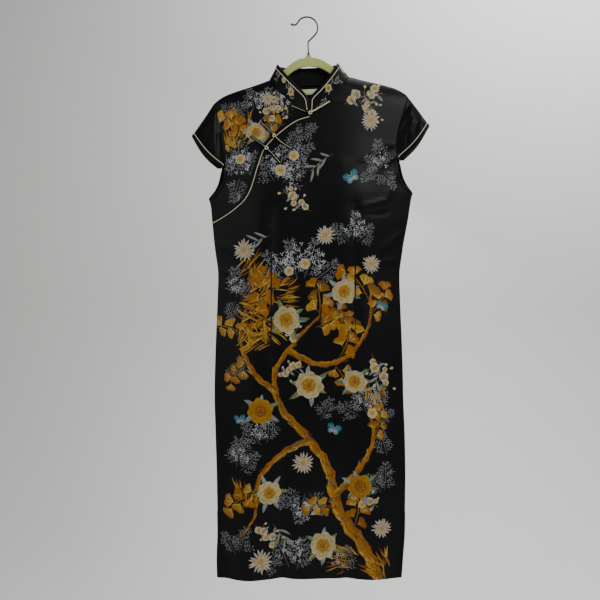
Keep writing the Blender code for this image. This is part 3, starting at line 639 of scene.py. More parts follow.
def butterfly(centre, size, angle):
    made = []
    for side in (-1, 1):  # two wings, a vein and a feeler
        fore, hind, feeler = (angle + side * turn for turn in (0.95, 2.05, 0.28))
        made += [
            petal(centre, fore, size, size * 0.75, inks("blue", "teal"), 0.0, 1.0),
            petal(centre, hind, size * 0.72, size * 0.55, inks("white", "blue"), 0.0, 0.8),
            stroke(centre, fore, size * 0.8, size * 0.05, inks("slate", "white"), 0.1 * side, 0.3, 3),
            stroke(centre, feeler, size * 0.62, size * 0.03, inks("pale", "pale"), 0.5 * side, 0.3, 3),
        ]
    tail = centre - size * 0.32 * ray(angle)
    return made + [stroke(tail, angle, size * 0.7, size * 0.13, inks("honey", "slate"), 0.0, 0.4, 4)]


motifs = {
    "frond": frond, "ginkgo": ginkgoTwig, "bamboo": bamboo, "twig": blossomTwig, "tuft": tuft,
    "peony": peony, "rose": lambda centre, radius: peony(centre, radius, "rust", "amber", "gold"),
    "mum": chrysanthemum, "plum": plumBlossom, "florets": cluster, "butterfly": butterfly,
}
layers = (  # from the ground up
    "frond", "florets", "bough", "tuft", "ginkgo", "bamboo", "twig", "rose", "peony", "mum", "plum",
    "butterfly",
)
frontBoughs = [  # points, then widths from the first to the last
    ([(160, -1230), (112, -1130), (58, -1050), (36, -960), (-12, -890), (-62, -835), (-76, -760),
    (-30, -690), (18, -640)], [28, 26, 24, 20, 17, 14, 11, 8, 4]),
    ([(52, -1020), (100, -965), (132, -900), (120, -830)], [15, 11, 8, 3]),
    ([(0, -900), (-60, -930), (-110, -985), (-118, -1060), (-150, -1110)], [15, 11, 9, 6, 3]),
    ([(-72, -800), (-120, -760), (-150, -690), (-136, -630)], [14, 10, 6, 3]),
    ([(-50, -712), (20, -742), (80, -722), (122, -662), (128, -590)], [13, 11, 9, 6, 3]),
]
frontPrint = {  # for each motif its places: x, z and size, and degrees where it has a direction
    "frond": [
        (-70, -352, 82, 78), (-76, -356, 62, 118), (-60, -358, 70, 40), (-50, -300, 60, 62),
        (-30, -262, 50, 28), (-52, -305, 66, 20), (150, -330, 60, 96), (152, -334, 48, 140),
        (148, -336, 50, 205), (156, -338, 46, 300), (-30, -560, 86, 100), (-44, -562, 80, 132),
        (-14, -560, 86, 70), (-60, -566, 66, 162), (4, -566, 70, 34), (90, -480, 62, 84),
        (96, -484, 52, 40), (82, -484, 54, 134), (-158, -600, 66, 92), (-150, -606, 60, 52),
        (-160, -606, 50, 250), (128, -848, 66, 62), (118, -846, 70, 108), (104, -852, 56, 150),
        (136, -856, 46, 12), (-104, -912, 66, 128), (-92, -908, 64, 84), (-118, -924, 54, 176),
        (-22, -1010, 62, 214), (-12, -1014, 70, 256), (-4, -1012, 60, 300), (-46, -1176, 70, 112),
        (-30, -1180, 74, 76), (-64, -1180, 58, 152), (156, -1010, 62, 84), (150, -1014, 54, 128),
        (-152, -1140, 58, 70), (-160, -1146, 54, 118), (-158, -962, 66, 84), (-150, -968, 58, 40),
        (66, -1186, 60, 72), (162, -936, 58, 104), (-164, -780, 56, 70), (20, -860, 54, 60),
    ],
    "florets": [
        (-150, -934, 20), (60, -1160, 18), (-46, -336, 26), (-80, -310, 18), (-26, -512, 30),
        (12, -520, 20), (-62, -524, 20), (92, -448, 22), (118, -812, 26), (-102, -878, 24),
        (-12, -1048, 26), (-34, -1138, 26), (-154, -572, 18), (150, -316, 16),
    ],
    "ginkgo": [
        (-126, -640, 86, 58), (-140, -680, 62, 150), (-128, -740, 60, 210), (60, -728, 78, 60),
        (100, -690, 70, 128), (122, -640, 62, 42), (124, -610, 74, 112), (50, -740, 64, 300),
        (16, -650, 70, 80), (10, -664, 60, 20), (-112, -1010, 66, 200), (90, -1090, 70, 70),
        (60, -1050, 60, 160), (130, -900, 58, 60),
    ],
    "bamboo": [(46, -300, 60, 210), (-86, -470, 62, 200), (150, -740, 70, 250), (-80, -1080, 60, 300)],
    "twig": [
        (70, -196, 88, 24), (112, -172, 70, 300), (0, -420, 76, 150), (-120, -1080, 70, 330),
        (128, -720, 82, 300), (-30, -700, 70, 110), (80, -1010, 72, 340), (-76, -770, 66, 30),
    ],
    "peony": [
        (-52, -648, 30), (70, -588, 27), (-4, -786, 30), (92, -778, 26), (26, -1128, 30), (-88, -1014, 26),
    ],
    "rose": [(-106, -840, 27), (104, -1000, 26)],
    "mum": [
        (126, -232, 21), (-142, -500, 23), (30, -470, 21), (128, -530, 20), (-16, -950, 23),
        (-106, -1160, 25), (150, -1090, 21),
    ],
    "plum": [(-36, -300, 12), (-64, -330, 13), (-12, -530, 12), (-46, -545, 11), (130, -845, 12)],
    "tuft": [
        (-150, -560, 70, 20), (-155, -610, 74, -20), (-120, -590, 60, 60), (-150, -660, 72, 10),
        (-95, -650, 66, -60), (-155, -710, 70, 30), (-110, -700, 60, 100), (-80, -590, 64, -10),
        (150, -1190, 60, 110), (90, -1170, 60, 150), (-150, -1040, 56, 60), (140, -780, 56, 250),
    ],
    "butterfly": [(86, -352, 20, 120), (150, -620, 15, 60), (48, -880, 18, 70), (-150, -860, 15, 100)],
}
underlapPrint = {
    "frond": [
        (-120, -196, 50, 100), (-110, -200, 56, 60), (-128, -204, 50, 150), (-60, -196, 58, 84),
        (-50, -200, 50, 40), (-70, -202, 52, 130), (-150, -330, 74, 92), (-156, -334, 60, 130),
        (-142, -336, 60, 56), (-150, -340, 60, 250), (-172, -176, 44, 250), (-52, -230, 60, 200),
    ],
    "florets": [(-148, -308, 26), (-60, -176, 18), (-116, -178, 18), (-80, -222, 20)],
    "ginkgo": [(-142, -262, 64, 110), (-112, -262, 60, 40), (-150, -250, 44, 200)],
    "bamboo": [(-156, -370, 54, 300)],
    "tuft": [(-150, -240, 50, 80), (-170, -270, 50, 60)],
    "twig": [(-96, -226, 62, 70), (-40, -214, 50, 160)],
    "mum": [(-90, -176, 16)],
    "peony": [(-116, -246, 21)],
    "plum": [(-150, -300, 12)],
}
backPrint = {
    "frond": [
        (90, -330, 80, 80), (80, -334, 70, 124), (104, -336, 70, 40), (-120, -260, 70, 100),
        (-108, -264, 66, 60), (-132, -266, 56, 150), (20, -520, 86, 100), (36, -524, 80, 62),
        (6, -526, 70, 140), (-140, -620, 70, 86), (-128, -626, 62, 44), (130, -700, 70, 110),
        (142, -704, 62, 66), (-90, -900, 76, 96), (-76, -906, 66, 56), (100, -1000, 74, 120),
        (112, -1006, 70, 76), (-20, -1150, 76, 88), (-6, -1156, 62, 46), (-150, -1100, 62, 110),
    ],
    "florets": [(90, -300, 24), (24, -480, 28), (-118, -230, 20), (110, -968, 24)],
    "ginkgo": [
        (-60, -420, 84, 120), (-50, -440, 70, 50), (80, -600, 78, 100), (90, -620, 70, 30),
        (-70, -720, 80, 150), (-50, -730, 74, 80), (40, -900, 76, 60), (-110, -1020, 66, 120),
    ],
    "twig": [(0, -230, 90, 30), (100, -440, 80, 300), (-130, -480, 70, 60), (60, -800, 80, 330)],
    "bamboo": [(140, -380, 66, 240), (-30, -620, 66, 220), (130, -880, 64, 250)],
    "peony": [(-14, -380, 29), (-80, -560, 29), (0, -820, 32), (60, -1090, 30)],
    "rose": [(46, -680, 29)],
    "mum": [(60, -250, 23), (-130, -780, 23), (-60, -1090, 25)],
    "butterfly": [(10, -300, 18, 70), (-40, -960, 17, 110)],
}
backBoughs = [
    ([(-120, -1230), (-80, -1120), (-20, -1020), (20, -900), (0, -780), (-50, -680), (-60, -560),
    (-20, -460), (30, -400)], [38, 34, 30, 25, 21, 17, 12, 8, 3]),
    ([(14, -930), (70, -900), (120, -930)], [14, 9, 3]),
    ([(-10, -760), (40, -700), (90, -640)], [14, 9, 3]),
    ([(-56, -620), (-110, -580), (-140, -520)], [12, 8, 3]),
]
collarPrint = {  # x along the foot from the middle back, z up from the foot
    "bamboo": [
        (-128, 6, 34, 60), (-152, 12, 26, 110), (-182, 10, 26, 20), (-70, 6, 30, 40), (86, 30, 34, 230),
        (158, 24, 30, 200), (178, 14, 28, 330), (20, 8, 34, 50),
    ],
    "peony": [(-166, 17, 8), (166, 21, 8.5)],
    "plum": [(-140, 24, 6), (104, 20, 8), (-20, 18, 9)],
}


def taken(at, top, bottom):  # plain ground where a dart takes up the print
    left, right = at - dress["dartPrint"] / 2, at + dress["dartPrint"] / 2
    high, low = mix(top, bottom, 0.3), mix(top, bottom, 0.7)
    points = [(at, top), (left, high), (left, low), (at, bottom), (right, low), (right, high)]
    return shape(points, (ink["ground"], ink["ground"]))


def composed(places, boughs=()):  # all the flat shapes of one arrangement, from the ground up
    boughs = [(np.array(points) / 1000, np.array(widths) / 1000) for points, widths in boughs]
    under, blooms, discs = [], [], []

    def middle(one):
        return one["points"].mean(axis=0)

    for kind in layers:
        if kind == "bough":
            for points, widths in boughs:
                line, clear = smoothLine(points, 60), spaced(widths, 60) * 0.42
                under = [one for one in under if (np.linalg.norm(line - middle(one), axis=1) > clear).all()]
            for points, widths in boughs:
                under += bough(points, widths)
        for x, z, size, *turn in places.get(kind, ()):
            made = motifs[kind](np.array([x, z]) / 1000, size / 1000, *map(math.radians, turn))
            if kind in ("rose", "peony", "mum"):
                discs.append((np.array([x, z]) / 1000, size / 1000 * 0.82))
            (blooms if kind in ("rose", "peony", "mum", "plum", "butterfly") else under).extend(made)
    return [one for one in under if all(math.dist(middle(one), at) > reach for at, reach in discs)] + blooms


# meshes of cloth
def insideOf(points, outline):  # which points lie inside a closed outline
    x, z = points[:, 0], points[:, 1]
    odd = np.zeros(len(points), bool)
    for (x0, z0), (x1, z1) in zip(outline, np.roll(outline, -1, axis=0)):
        crossed = (z0 > z) != (z1 > z)
        if z0 != z1:
            odd ^= crossed & (x < (x1 - x0) * (z - z0) / (z1 - z0) + x0)
    return odd


def lattice(outline, step):  # even points inside an outline, in rows set half a step apart
    low, high = outline.min(axis=0), outline.max(axis=0)
    rows = []
    for i, z in enumerate(np.arange(low[1] + step * 0.5, high[1], step * 0.866)):
        x = np.arange(low[0] + (0.5 + 0.5 * (i % 2)) * step, high[0], step)
        rows.append(columns(x, np.full(len(x), z)))
    points = np.vstack(rows)
    points = points[insideOf(points, outline)]
    near = np.full(len(points), np.inf)
    for spot in outline:
        near = np.minimum(near, np.abs(points - spot).max(axis=1))
    return points[near > step * 0.42]


def turnedLeft(points):  # the same outline, running anticlockwise
    x, z = points[:, 0], points[:, 1]
    return points if (x * np.roll(z, -1) - np.roll(x, -1) * z).sum() > 0 else points[::-1]


def triangulated(outline, points, shapes):
    spots = [Vector(p) for p in np.vstack([turnedLeft(outline), points])]
    edges = []
    for one in shapes:
        first, count = len(spots), len(one["points"])
        edges += [(first + k, first + (k + 1) % count) for k in range(count)]
        spots += [Vector(p) for p in one["points"]]
    border = [list(range(len(outline)))]
    flat, _, tris, vertsFrom, _, _ = geometry.delaunay_2d_cdt(spots, edges, border, 1, 1e-5, True)
    flat, tris = np.array([tuple(p) for p in flat]), np.array(tris)
    tris = tris[insideOf(flat[tris].mean(axis=1), outline)]
    return flat, tris, topmost(shapes, flat[tris].mean(axis=1)), vertsFrom


def topmost(shapes, middles):  # which shape lies on top at each place, counted from one
    top = np.zeros(len(middles), int)
    order = np.argsort(middles[:, 0])
    ranked = middles[order, 0]
    for k, one in enumerate(shapes):
        low, high = one["points"].min(axis=0), one["points"].max(axis=0)
        near = order[np.searchsorted(ranked, low[0]):np.searchsorted(ranked, high[0])]
        near = near[(middles[near, 1] > low[1]) & (middles[near, 1] < high[1])]
        top[near[insideOf(middles[near], one["points"])]] = k + 1
    return top


def rimLoop(tris):  # the boundary of a patch of triangles, in order
    seen = {(int(a), int(b)) for tri in tris for a, b in zip(tri, np.roll(tri, -1))}
    after = {a: b for a, b in seen if (b, a) not in seen}
    start = min(after)
    loop, spot = [start], after[start]
    while spot != start:
        loop.append(spot)
        spot = after[spot]
    return loop


def surfaceNormals(at, flat, sign):  # unit normals of a surface given as a function
    x, z, step = flat[:, 0], flat[:, 1], 4e-4
    normal = np.cross(at(x + step, z) - at(x - step, z), at(x, z + step) - at(x, z - step))
    return sign * normal / np.linalg.norm(normal, axis=1)[:, None]


def gridNormals(grid, sign):
    normal = np.cross(np.gradient(grid, axis=1), np.gradient(grid, axis=0))
    return sign * normal / np.maximum(np.linalg.norm(normal, axis=2), 1e-12)[..., None]


def treeOf(points, faces):
    return BVHTree.FromPolygons([tuple(p) for p in points], [tuple(int(i) for i in f) for f in faces])


def addMesh(name, points, faces, finishes, slots=None, smoothing=55):
    mesh = bpy.data.meshes.new(name)
    mesh.from_pydata([tuple(p) for p in points], [], [tuple(int(i) for i in f) for f in faces])
    for finish in finishes:
        mesh.materials.append(finish)
    if slots is not None:
        mesh.polygons.foreach_set("material_index", np.asarray(slots, np.int32))
    mesh.shade_smooth()
    mesh.set_sharp_from_angle(angle=math.radians(smoothing))
    return linked(name, mesh)


def shaded(shapes, flat, tris, top):  # colour at each corner of each triangle, and whether it is inked
    colours = np.tile(np.array([*ink["ground"], 0.0]), (len(tris), 3, 1))
    inked = top > 0
    which = top[inked] - 1
    heart, rim, centre, reach, power = (
        np.array([one[key] for one in shapes])[which][:, None]
        for key in ("heart", "rim", "centre", "reach", "power")
    )
    t = np.clip(np.linalg.norm(flat[tris[inked]] - centre, axis=2) / reach, 0, 1) ** power
    colours[inked, :, :3] = mix(heart, rim, t[..., None])
    colours[inked, :, 3] = 1.0
    return colours


def panelShell(name, outline, at, sign, wall, shapes, finishes, step):  # two faces and the edge between
    flat, tris, top, _ = triangulated(outline, lattice(outline, step), shapes)
    loop = rimLoop(tris)
    flatIn, trisIn, _, fromIn = triangulated(flat[loop], lattice(flat[loop], step * 2.0), [])
    place = {source: k for k, sources in enumerate(fromIn) for source in sources}
    outs, outsIn = surfaceNormals(at, flat, sign), surfaceNormals(at, flatIn, sign)
    outer, inner = at(flat[:, 0], flat[:, 1]), at(flatIn[:, 0], flatIn[:, 1]) - outsIn * wall
    count, size, turned = len(flat), len(loop), sign < 0
    faces = [tuple(t[::-1]) if turned else tuple(t) for t in tris]
    faces += [tuple(t + count) if turned else tuple(t[::-1] + count) for t in trisIn]
    for k in range(size):
        a, b, c, d = loop[k], loop[(k + 1) % size], count + place[k], count + place[(k + 1) % size]
        faces.append((a, b, d, c) if turned else (b, a, c, d))
    slots = [0] * len(tris) + [1] * len(trisIn) + [2] * size
    made = addMesh(name, np.vstack([outer, inner]), faces, finishes, slots)
    colours = shaded(shapes, flat, tris, top)
    if turned:
        colours = colours[:, ::-1]
    values = np.tile(np.array([*ink["ground"], 0.0]), (len(made.data.loops), 1))
    values[: 3 * len(tris)] = colours.reshape(-1, 4)
    layer = made.data.color_attributes.new("print", "FLOAT_COLOR", "CORNER")
    layer.data.foreach_set("color", values.astype(np.float32).ravel())
    # one flat map for baking: outer face, inner face beside it, and a narrow strip for the edge
    bake = (np.vstack([flat, flatIn]) - flat.min(axis=0)) * 0.90 + 0.01
    corners = np.array([i for face in faces for i in face])
    edge, spots = len(tris) * 3 + len(trisIn) * 3, bake[corners]
    spots[:, 0] += np.where(corners >= count, 0.50, 0.0)
    spots[edge:, 0] = bake[corners[edge:], 0] + np.where(corners[edge:] >= count, 0.003, 0.0)
    made.data.uv_layers.new(name="OFBake").data.foreach_set("uv", spots.astype(np.float32).ravel())
    ways = np.vstack([outs, -outsIn])[corners]
    ways[edge:] = 0.0
    made.data.normals_split_custom_set(ways)
    return made, treeOf(outer, tris)


def gridShell(name, grid, sign, wall, finishes):  # a wall behind a grid of points
    rows, across = grid.shape[:2]
    inner = grid - gridNormals(grid, sign) * wall
    count, last = rows * across, (rows - 1) * across
    faces, slots = [], []

    def quad(a, b, c, d, slot):
        faces.append((d, c, b, a) if sign > 0 else (a, b, c, d))
        slots.append(slot)

    for i in range(rows - 1):
        for a in range(i * across, i * across + across - 1):
            quad(a, a + 1, a + 1 + across, a + across, 0)
            quad(a + count + across, a + count + 1 + across, a + count + 1, a + count, 1)
    border = [*range(across), *range(2 * across - 1, count, across)]
    border += [*range(count - 2, last - 1, -1), *range(last - across, 0, -across)]
    for a, b in zip(border, border[1:] + border[:1]):
        quad(b, a, a + count, b + count, 1)
    made = addMesh(name, np.vstack([grid.reshape(-1, 3), inner.reshape(-1, 3)]), faces, finishes, slots)
    return made, treeOf(grid.reshape(-1, 3), [face for face, slot in zip(faces, slots) if slot == 0])


# outlines of the cut pieces, in the upright garment
frontCurve = (dress["frontNeck"], 1.6, 1.0)  # drop, powers across and down
backCurve = (dress["backNeck"], 2.0, 2.0)
shoulderRun = smoothLine(shoulderLine, 40)
shoulderEnd = shoulderLine[-1][1]
mirrorX = np.array([-1.0, 1.0])


def neckHeight(x, neck):
    drop, across, down = neck
    rest = np.maximum(1 - np.abs(x / dress["neckHalf"]) ** across, 0.0)
    return dress["neckSide"] - drop * rest ** (1 / down)


def neckInward(x, neck):  # the way from the neckline into the opening
    drop, across, down = neck
    rest = np.maximum(1 - np.abs(x / dress["neckHalf"]) ** across, 1e-9) ** ((down - 1) / down)
    slope = across * np.abs(x) ** (across - 1) / dress["neckHalf"] ** across
    return unit(columns(-np.copysign(slope, x), down * rest / drop))


def neckRun(neck, count):  # half of a neckline, from the middle to the shoulder
    x = dress["neckHalf"] * np.sin(np.linspace(0, math.pi / 2, count))
    return columns(x, neckHeight(x, neck))


def sideEdge(side, armhole, top, bottom, count):
    z = np.linspace(top, bottom, count)
    return columns(edgeOf(z, side, armhole), z)


def armholeRun(side, armhole, upwards=False):
    ends = shoulderEnd, dress["underarm"] + 1e-6
    return sideEdge(side, armhole, *(ends[::-1] if upwards else ends), 76)


def hemRun(armhole):  # from the wearer's left to the right
    left, right = (edgeOf(dress["hem"], side, armhole) for side in (1, -1))
    return columns(np.linspace(left, right, 120), np.full(120, dress["hem"]))


def joined(*runs):
    points = [runs[0]]
    for run in runs[1:]:
        points.append(run[1:] if np.allclose(points[-1][-1], run[0], atol=1e-5) else run)
    line = np.vstack(points)
    return line[:-1] if np.allclose(line[0], line[-1], atol=1e-5) else line


def frontOutline():
    return joined(
        smoothLine(flapLine, 120)[::-1], neckRun(frontCurve, 50), shoulderRun, armholeRun(1, armholeFront),
        sideEdge(1, armholeFront, dress["underarm"], dress["hem"], 240), hemRun(armholeFront),
        sideEdge(-1, armholeFront, dress["hem"], flapLine[-1][1], 220),
    )


def backOutline():
    half = joined(neckRun(backCurve, 34), shoulderRun)
    return joined(
        half[::-1] * mirrorX, half[1:], armholeRun(1, armholeBack),
        sideEdge(1, armholeBack, dress["underarm"], dress["hem"], 240), hemRun(armholeBack),
        sideEdge(-1, armholeBack, dress["hem"], dress["underarm"], 240), armholeRun(-1, armholeBack, True),
    )


def underlapOutline():
    edge = evenly(np.vstack([[0.0, flapLine[0][1]], smoothLine(flapLine, 120)]), 200)[::-1]
    way = unit(np.gradient(edge, axis=0))
    deep = dress["overlap"] * np.clip((edge[:, 0] - edge[0, 0] - 0.022) / 0.030, 0.0, 1.0)
    lower = edge - columns(-way[:, 1], way[:, 0]) * deep[:, None]
    lower[:, 0] = np.minimum(lower[:, 0], 0.0)
    lower[:, 1] += 2 * dress["edgeGap"]
    top = joined(neckRun(frontCurve, 50), shoulderRun) * mirrorX
    side = sideEdge(-1, armholeFront, dress["underarm"], lower[0, 1], 16)
    return joined(top, armholeRun(-1, armholeFront), side[:-1], lower)[::-1]


# cap sleeves and stand collar
sleeve = {
    "seam": 0.00015, "tip": (0.255, -0.243), "endDrop": 0.138, "last": 0.008, "openFront": 0.016,
    "openBack": 0.012, "bulge": 0.004, "top": 0.00145, "round": 0.0025,
}
collar = {
    "height": 0.037, "wall": 0.0018, "corner": 0.012, "gap": 0.0010, "startX": 0.0013, "closureX": -0.0035,
    "binding": 0.0056, "tuck": 0.0022,
}
collarLean = [  # degrees round from the middle front, lean towards the middle
    (0, 0.02), (6, 0.08), (12, 0.22), (20, 0.38), (32, 0.48), (58, 0.50), (75, 0.60), (90, 0.70), (115, 0.46),
    (150, 0.16), (180, 0.00),
]
leftSleeveCreases = metres([  # on the wearer's left, in the upright garment
    (233, -214, 222, -252, 5, -2.4, -0.8), (241, -220, 232, -256, 5, 2, 0.6),
    (212, -196, 199, -222, 4.5, -2.4, -0.8), (220, -198, 208, -228, 5.5, 2.4, 0.8),
    (206, -234, 190, -262, 4.5, -2.2, -0.6), (214, -240, 203, -268, 5, 2.4, 0.8),
    (205, -262, 203, -300, 4, -1.6, -0.4),
])
rightSleeveCreases = metres([
    (-204, -196, -206, -296, 6, 4.2, 1.4), (-216, -190, -236, -250, 8, 1.8, 0.6),
    (-196, -250, -192, -306, 4.5, -2.2, -0.6),
])


def sleeveGrid(side, rows=52, across=34):
    fronts, creaseRows = (frontY, leftSleeveCreases) if side > 0 else (underlapY, rightSleeveCreases)
    stations = sleeve["endDrop"] * np.linspace(0, 1, rows) ** 1.6
    drop = np.concatenate([stations[:0:-1], stations])[:, None]
    face = np.concatenate([np.ones(rows - 1), -np.ones(rows)])[:, None]
    atBack, t = face > 0, np.linspace(0, 1, across)[None, :]
    share = (drop / sleeve["endDrop"]) ** 0.9
    seamZ, endZ = shoulderEnd - drop, shoulderEnd - sleeve["endDrop"]
    seam = np.where(atBack, armholeBack(seamZ), armholeFront(seamZ))
    endX = np.where(atBack, armholeBack(endZ), armholeFront(endZ)) + sleeve["last"]
    hemX = mix(sleeve["tip"][0], endX, share) + sleeve["bulge"] * np.sin(math.pi * share)
    hemZ = mix(sleeve["tip"][1], endZ, share) - sleeve["bulge"] * np.sin(math.pi * share)
    spread = np.where(atBack, sleeve["openBack"], sleeve["openFront"])
    # how much of the cloth's stand-off shows as it turns over at the top
    turned = np.sqrt(np.clip(1 - (1 - np.minimum(drop / sleeve["round"], 1.0)) ** 2, 0.0, 1.0))
    seamY = np.where(atBack, backY(side * seam, seamZ), fronts(side * seam, seamZ)) * turned
    endY = np.where(atBack, backY(side * endX, seamZ), fronts(side * endX, seamZ))
    hemY = mix(face * (sleeve["top"] * turned + spread * np.minimum(share * 5, 1.0) ** 0.6), endY, share**3)
    x, z = mix(seam + sleeve["seam"], hemX, t) * side, mix(seamZ, hemZ, t)
    crown = sleeve["bulge"] * np.sin(math.pi * t) * np.minimum(share * 4, 1.0) * (1 - share)
    creases = foldHeight(creaseRows, x, z) * np.sin(math.pi * t) ** 0.5 * smooth(share * 5) * (1 - share**4)
    return hung(x, mix(seamY, hemY, t) + face * (crown + creases), z)


leanAt = curveOf(collarLean)


def collarFoot(side):  # run, foot and rise on half of the neck, from the middle front to the middle back
    fronts = frontY if side > 0 else underlapY
    turn = np.linspace(0, math.pi, 1201)
    atFront = turn <= math.pi / 2
    shift = np.where(atFront, np.cos(turn) ** 2, 0.0)
    x = np.maximum(dress["neckHalf"] * np.sin(turn), np.where(atFront, collar["startX"], 0.0))
    x = x + side * collar["closureX"] * shift
    z = np.where(atFront, neckHeight(x, frontCurve), neckHeight(x, backCurve))
    inward = np.where(atFront[:, None], neckInward(x, frontCurve), neckInward(x, backCurve))
    gap = collar["gap"] * (1 + 0.5 * (x / dress["neckHalf"]) ** 4)
    y = averaged(np.where(atFront, fronts(side * x, z), backY(side * x, z)), 20)
    foot = columns(x + inward[:, 0] * gap, y, z + inward[:, 1] * gap)
    foot[-1, 0] = 0.0
    aside = collar["closureX"] / collar["height"] * (1 - shift)
    rise = unit(columns(aside - side * leanAt(np.degrees(turn)), -3.0 * foot[:, 1], np.ones(len(turn))))
    return runOf(foot), foot * np.array([side, 1.0, 1.0]), rise


rightRun, rightFoot, rightRise = collarFoot(-1)
leftRun, leftFoot, leftRise = collarFoot(1)
# zero at the middle back
bandRun = np.concatenate([(rightRun - rightRun[-1])[:-1], (leftRun[-1] - leftRun)[::-1]])
bandFoot = np.vstack([rightFoot[:-1], leftFoot[::-1]])
bandRise = np.vstack([rightRise[:-1], leftRise[::-1]])
bandInside = unit(np.cross(np.gradient(bandFoot, axis=0), bandRise))


def bandPoint(run, up):  # below its foot the collar's seam allowance turns in
    foot, rise, inside = (
        columns(*(np.interp(run, bandRun, part) for part in way.T))
        for way in (bandFoot, bandRise, bandInside)
    )
    spot = foot + rise * up[..., None] - inside * (0.9 * np.minimum(up, 0.0))[..., None]
    return hung(spot[..., 0], spot[..., 1], spot[..., 2])


def bandEdgeLine():  # up one front edge, round its corner, along the top and down the other front edge
    radius, height = collar["corner"], collar["height"]
    angle = np.linspace(0, math.pi / 2, 18)[1:]
    straight = columns(np.zeros(16), np.linspace(0, height - radius, 16))
    corner = columns(radius * (1 - np.cos(angle)), height - radius * (1 - np.sin(angle)))
    start = np.vstack([straight, corner])
    top = np.linspace(bandRun[0] + radius, bandRun[-1] - radius, 150)[1:-1]
    end = (start * mirrorX + [bandRun[-1], 0])[::-1]
    return np.vstack([start + [bandRun[0], 0], columns(top, np.full(148, height)), end])


def bandOutline():
    foot = np.linspace(bandRun[-1], bandRun[0], 170)
    return np.vstack([bandEdgeLine(), columns(foot, np.full(170, -collar["tuck"]))])


# bindings, pipings and cords
trim = {
    "width": 0.0065, "piping": 0.0015, "thick": 0.00055, "crown": 0.00022, "clear": 0.00008, "beside": 0.0004,
}


def ringFaces(count, sides, closed, turned=False):  # faces between rings of points, and over the two ends
    faces = []
    for i in range(count if closed else count - 1):
        j = (i + 1) % count
        for k in range(sides):
            m = (k + 1) % sides
            face = (i * sides + k, i * sides + m, j * sides + m, j * sides + k)
            faces.append((face[0], face[3], face[2], face[1]) if turned else face)
    if not closed:
        ends = [tuple(range(sides)), tuple((count - 1) * sides + k for k in range(sides))]
        faces += [ends[0], ends[1][::-1]] if turned else [ends[0][::-1], ends[1]]
    return faces


def tube(points, radius, sides=10, closed=False):  # points and faces of a round cord
    points = np.asarray(points, float)
    radii = np.broadcast_to(np.asarray(radius, float), (len(points),))
    kept = np.concatenate([[True], np.linalg.norm(np.diff(points, axis=0), axis=1) > 2e-5])
    points, radii = points[kept], radii[kept]
    around = np.roll(points, -1, axis=0) - np.roll(points, 1, axis=0)
    way = unit(around if closed else np.gradient(points, axis=0))
    side = np.cross(way[0], [0.0, 1.0, 0.0] if abs(way[0][1]) < 0.9 else [1.0, 0.0, 0.0])
    turn = np.linspace(0, 2 * math.pi, sides, endpoint=False)[:, None]
    rings = []
    for point, w, r in zip(points, way, radii):
        side = side - w * side.dot(w)
        side /= np.linalg.norm(side)
        rings.append(point + (side * np.cos(turn) + np.cross(w, side) * np.sin(turn)) * r)
    first, last = rings[0], rings[-1]
    if not closed:  # rounded ends
        for lift, shrink in ((0.5, 0.87), (0.87, 0.5), (0.99, 0.12)):
            rings.insert(0, points[0] + (first - points[0]) * shrink - way[0] * radii[0] * lift)
            rings.append(points[-1] + (last - points[-1]) * shrink + way[-1] * radii[-1] * lift)
    return np.vstack(rings), ringFaces(len(rings), sides, closed)


def merged(name, parts, finishes, smoothing=60):  # parts: points, faces and the finish's place in the list
    verts, faces, slots = [], [], []
    for points, sides, slot in parts:
        start = sum(len(v) for v in verts)
        verts.append(points)
        faces += [tuple(i + start for i in face) for face in sides]
        slots += [slot] * len(sides)
    return addMesh(name, np.vstack(verts), faces, finishes, slots, smoothing)


def onCloth(tree, points, outs):  # nearest places on the cloth, with the way out
    spots, ways = [], []
    for point, out in zip(points, outs):
        spot, normal, _, _ = tree.find_nearest(Vector(point))
        normal = np.array(normal)
        ways.append(normal if normal.dot(out) > 0 else -normal)
        spots.append(np.array(spot))
    return np.array(spots), unit(columns(*(averaged(part, 2) for part in np.array(ways).T)))


def edgeFrame(points, outs, within):  # along an edge: the points, the ways into the cloth and the ways out
    inside = unit(np.cross(outs, unit(np.gradient(points, axis=0))))
    return points, -inside if ((within - points) * inside).sum() < 0 else inside, outs


def bound(name, edge, tree, width, wall, finish):  # a bias strip folded round an edge
    points, inside, outs = edge
    thick, clear = trim["thick"], trim["clear"]
    profile = []  # share of the width, metres inside the edge, height over the face
    for share in (1.0, 0.97, 0.86, 0.6, 0.3, 0.1):
        height = clear + thick * (1 - abs(2 * share - 1) ** 5) + trim["crown"] * math.sin(math.pi * share)
        profile.append((share, 0.0, height))
    radius = wall / 2 + thick
    for turn in range(20, 180, 20):
        a = math.radians(turn)
        profile.append((0.0, -radius * math.sin(a) * 0.75, -wall / 2 + radius * math.cos(a)))
    for share in (0.1, 0.5, 0.84, 0.9):
        profile.append((share, 0.0, -wall - clear - thick * (1 if share < 0.9 else 0.2)))
    under = 0.75 * clear
    profile += [(0.9, 0.0, -wall - under), (0.05, 0.0, -wall - under), (0.05, 0.0, under), (1.0, 0.0, under)]
    rings = []
    for share, extra, height in profile:
        raw = points + inside * (np.asarray(width) * share + extra * np.ones(len(points)))[:, None]
        spots, ways = onCloth(tree, raw, outs) if share > 0 else (raw, outs)
        rings.append(spots + ways * height)
    verts = np.array(rings).transpose(1, 0, 2).reshape(-1, 3)
    made = addMesh(name, verts, ringFaces(len(points), len(profile), False), [finish], smoothing=50)
    work = bmesh.new()
    work.from_mesh(made.data)
    bmesh.ops.recalc_face_normals(work, faces=work.faces)
    work.to_mesh(made.data)
    work.free()
    return made


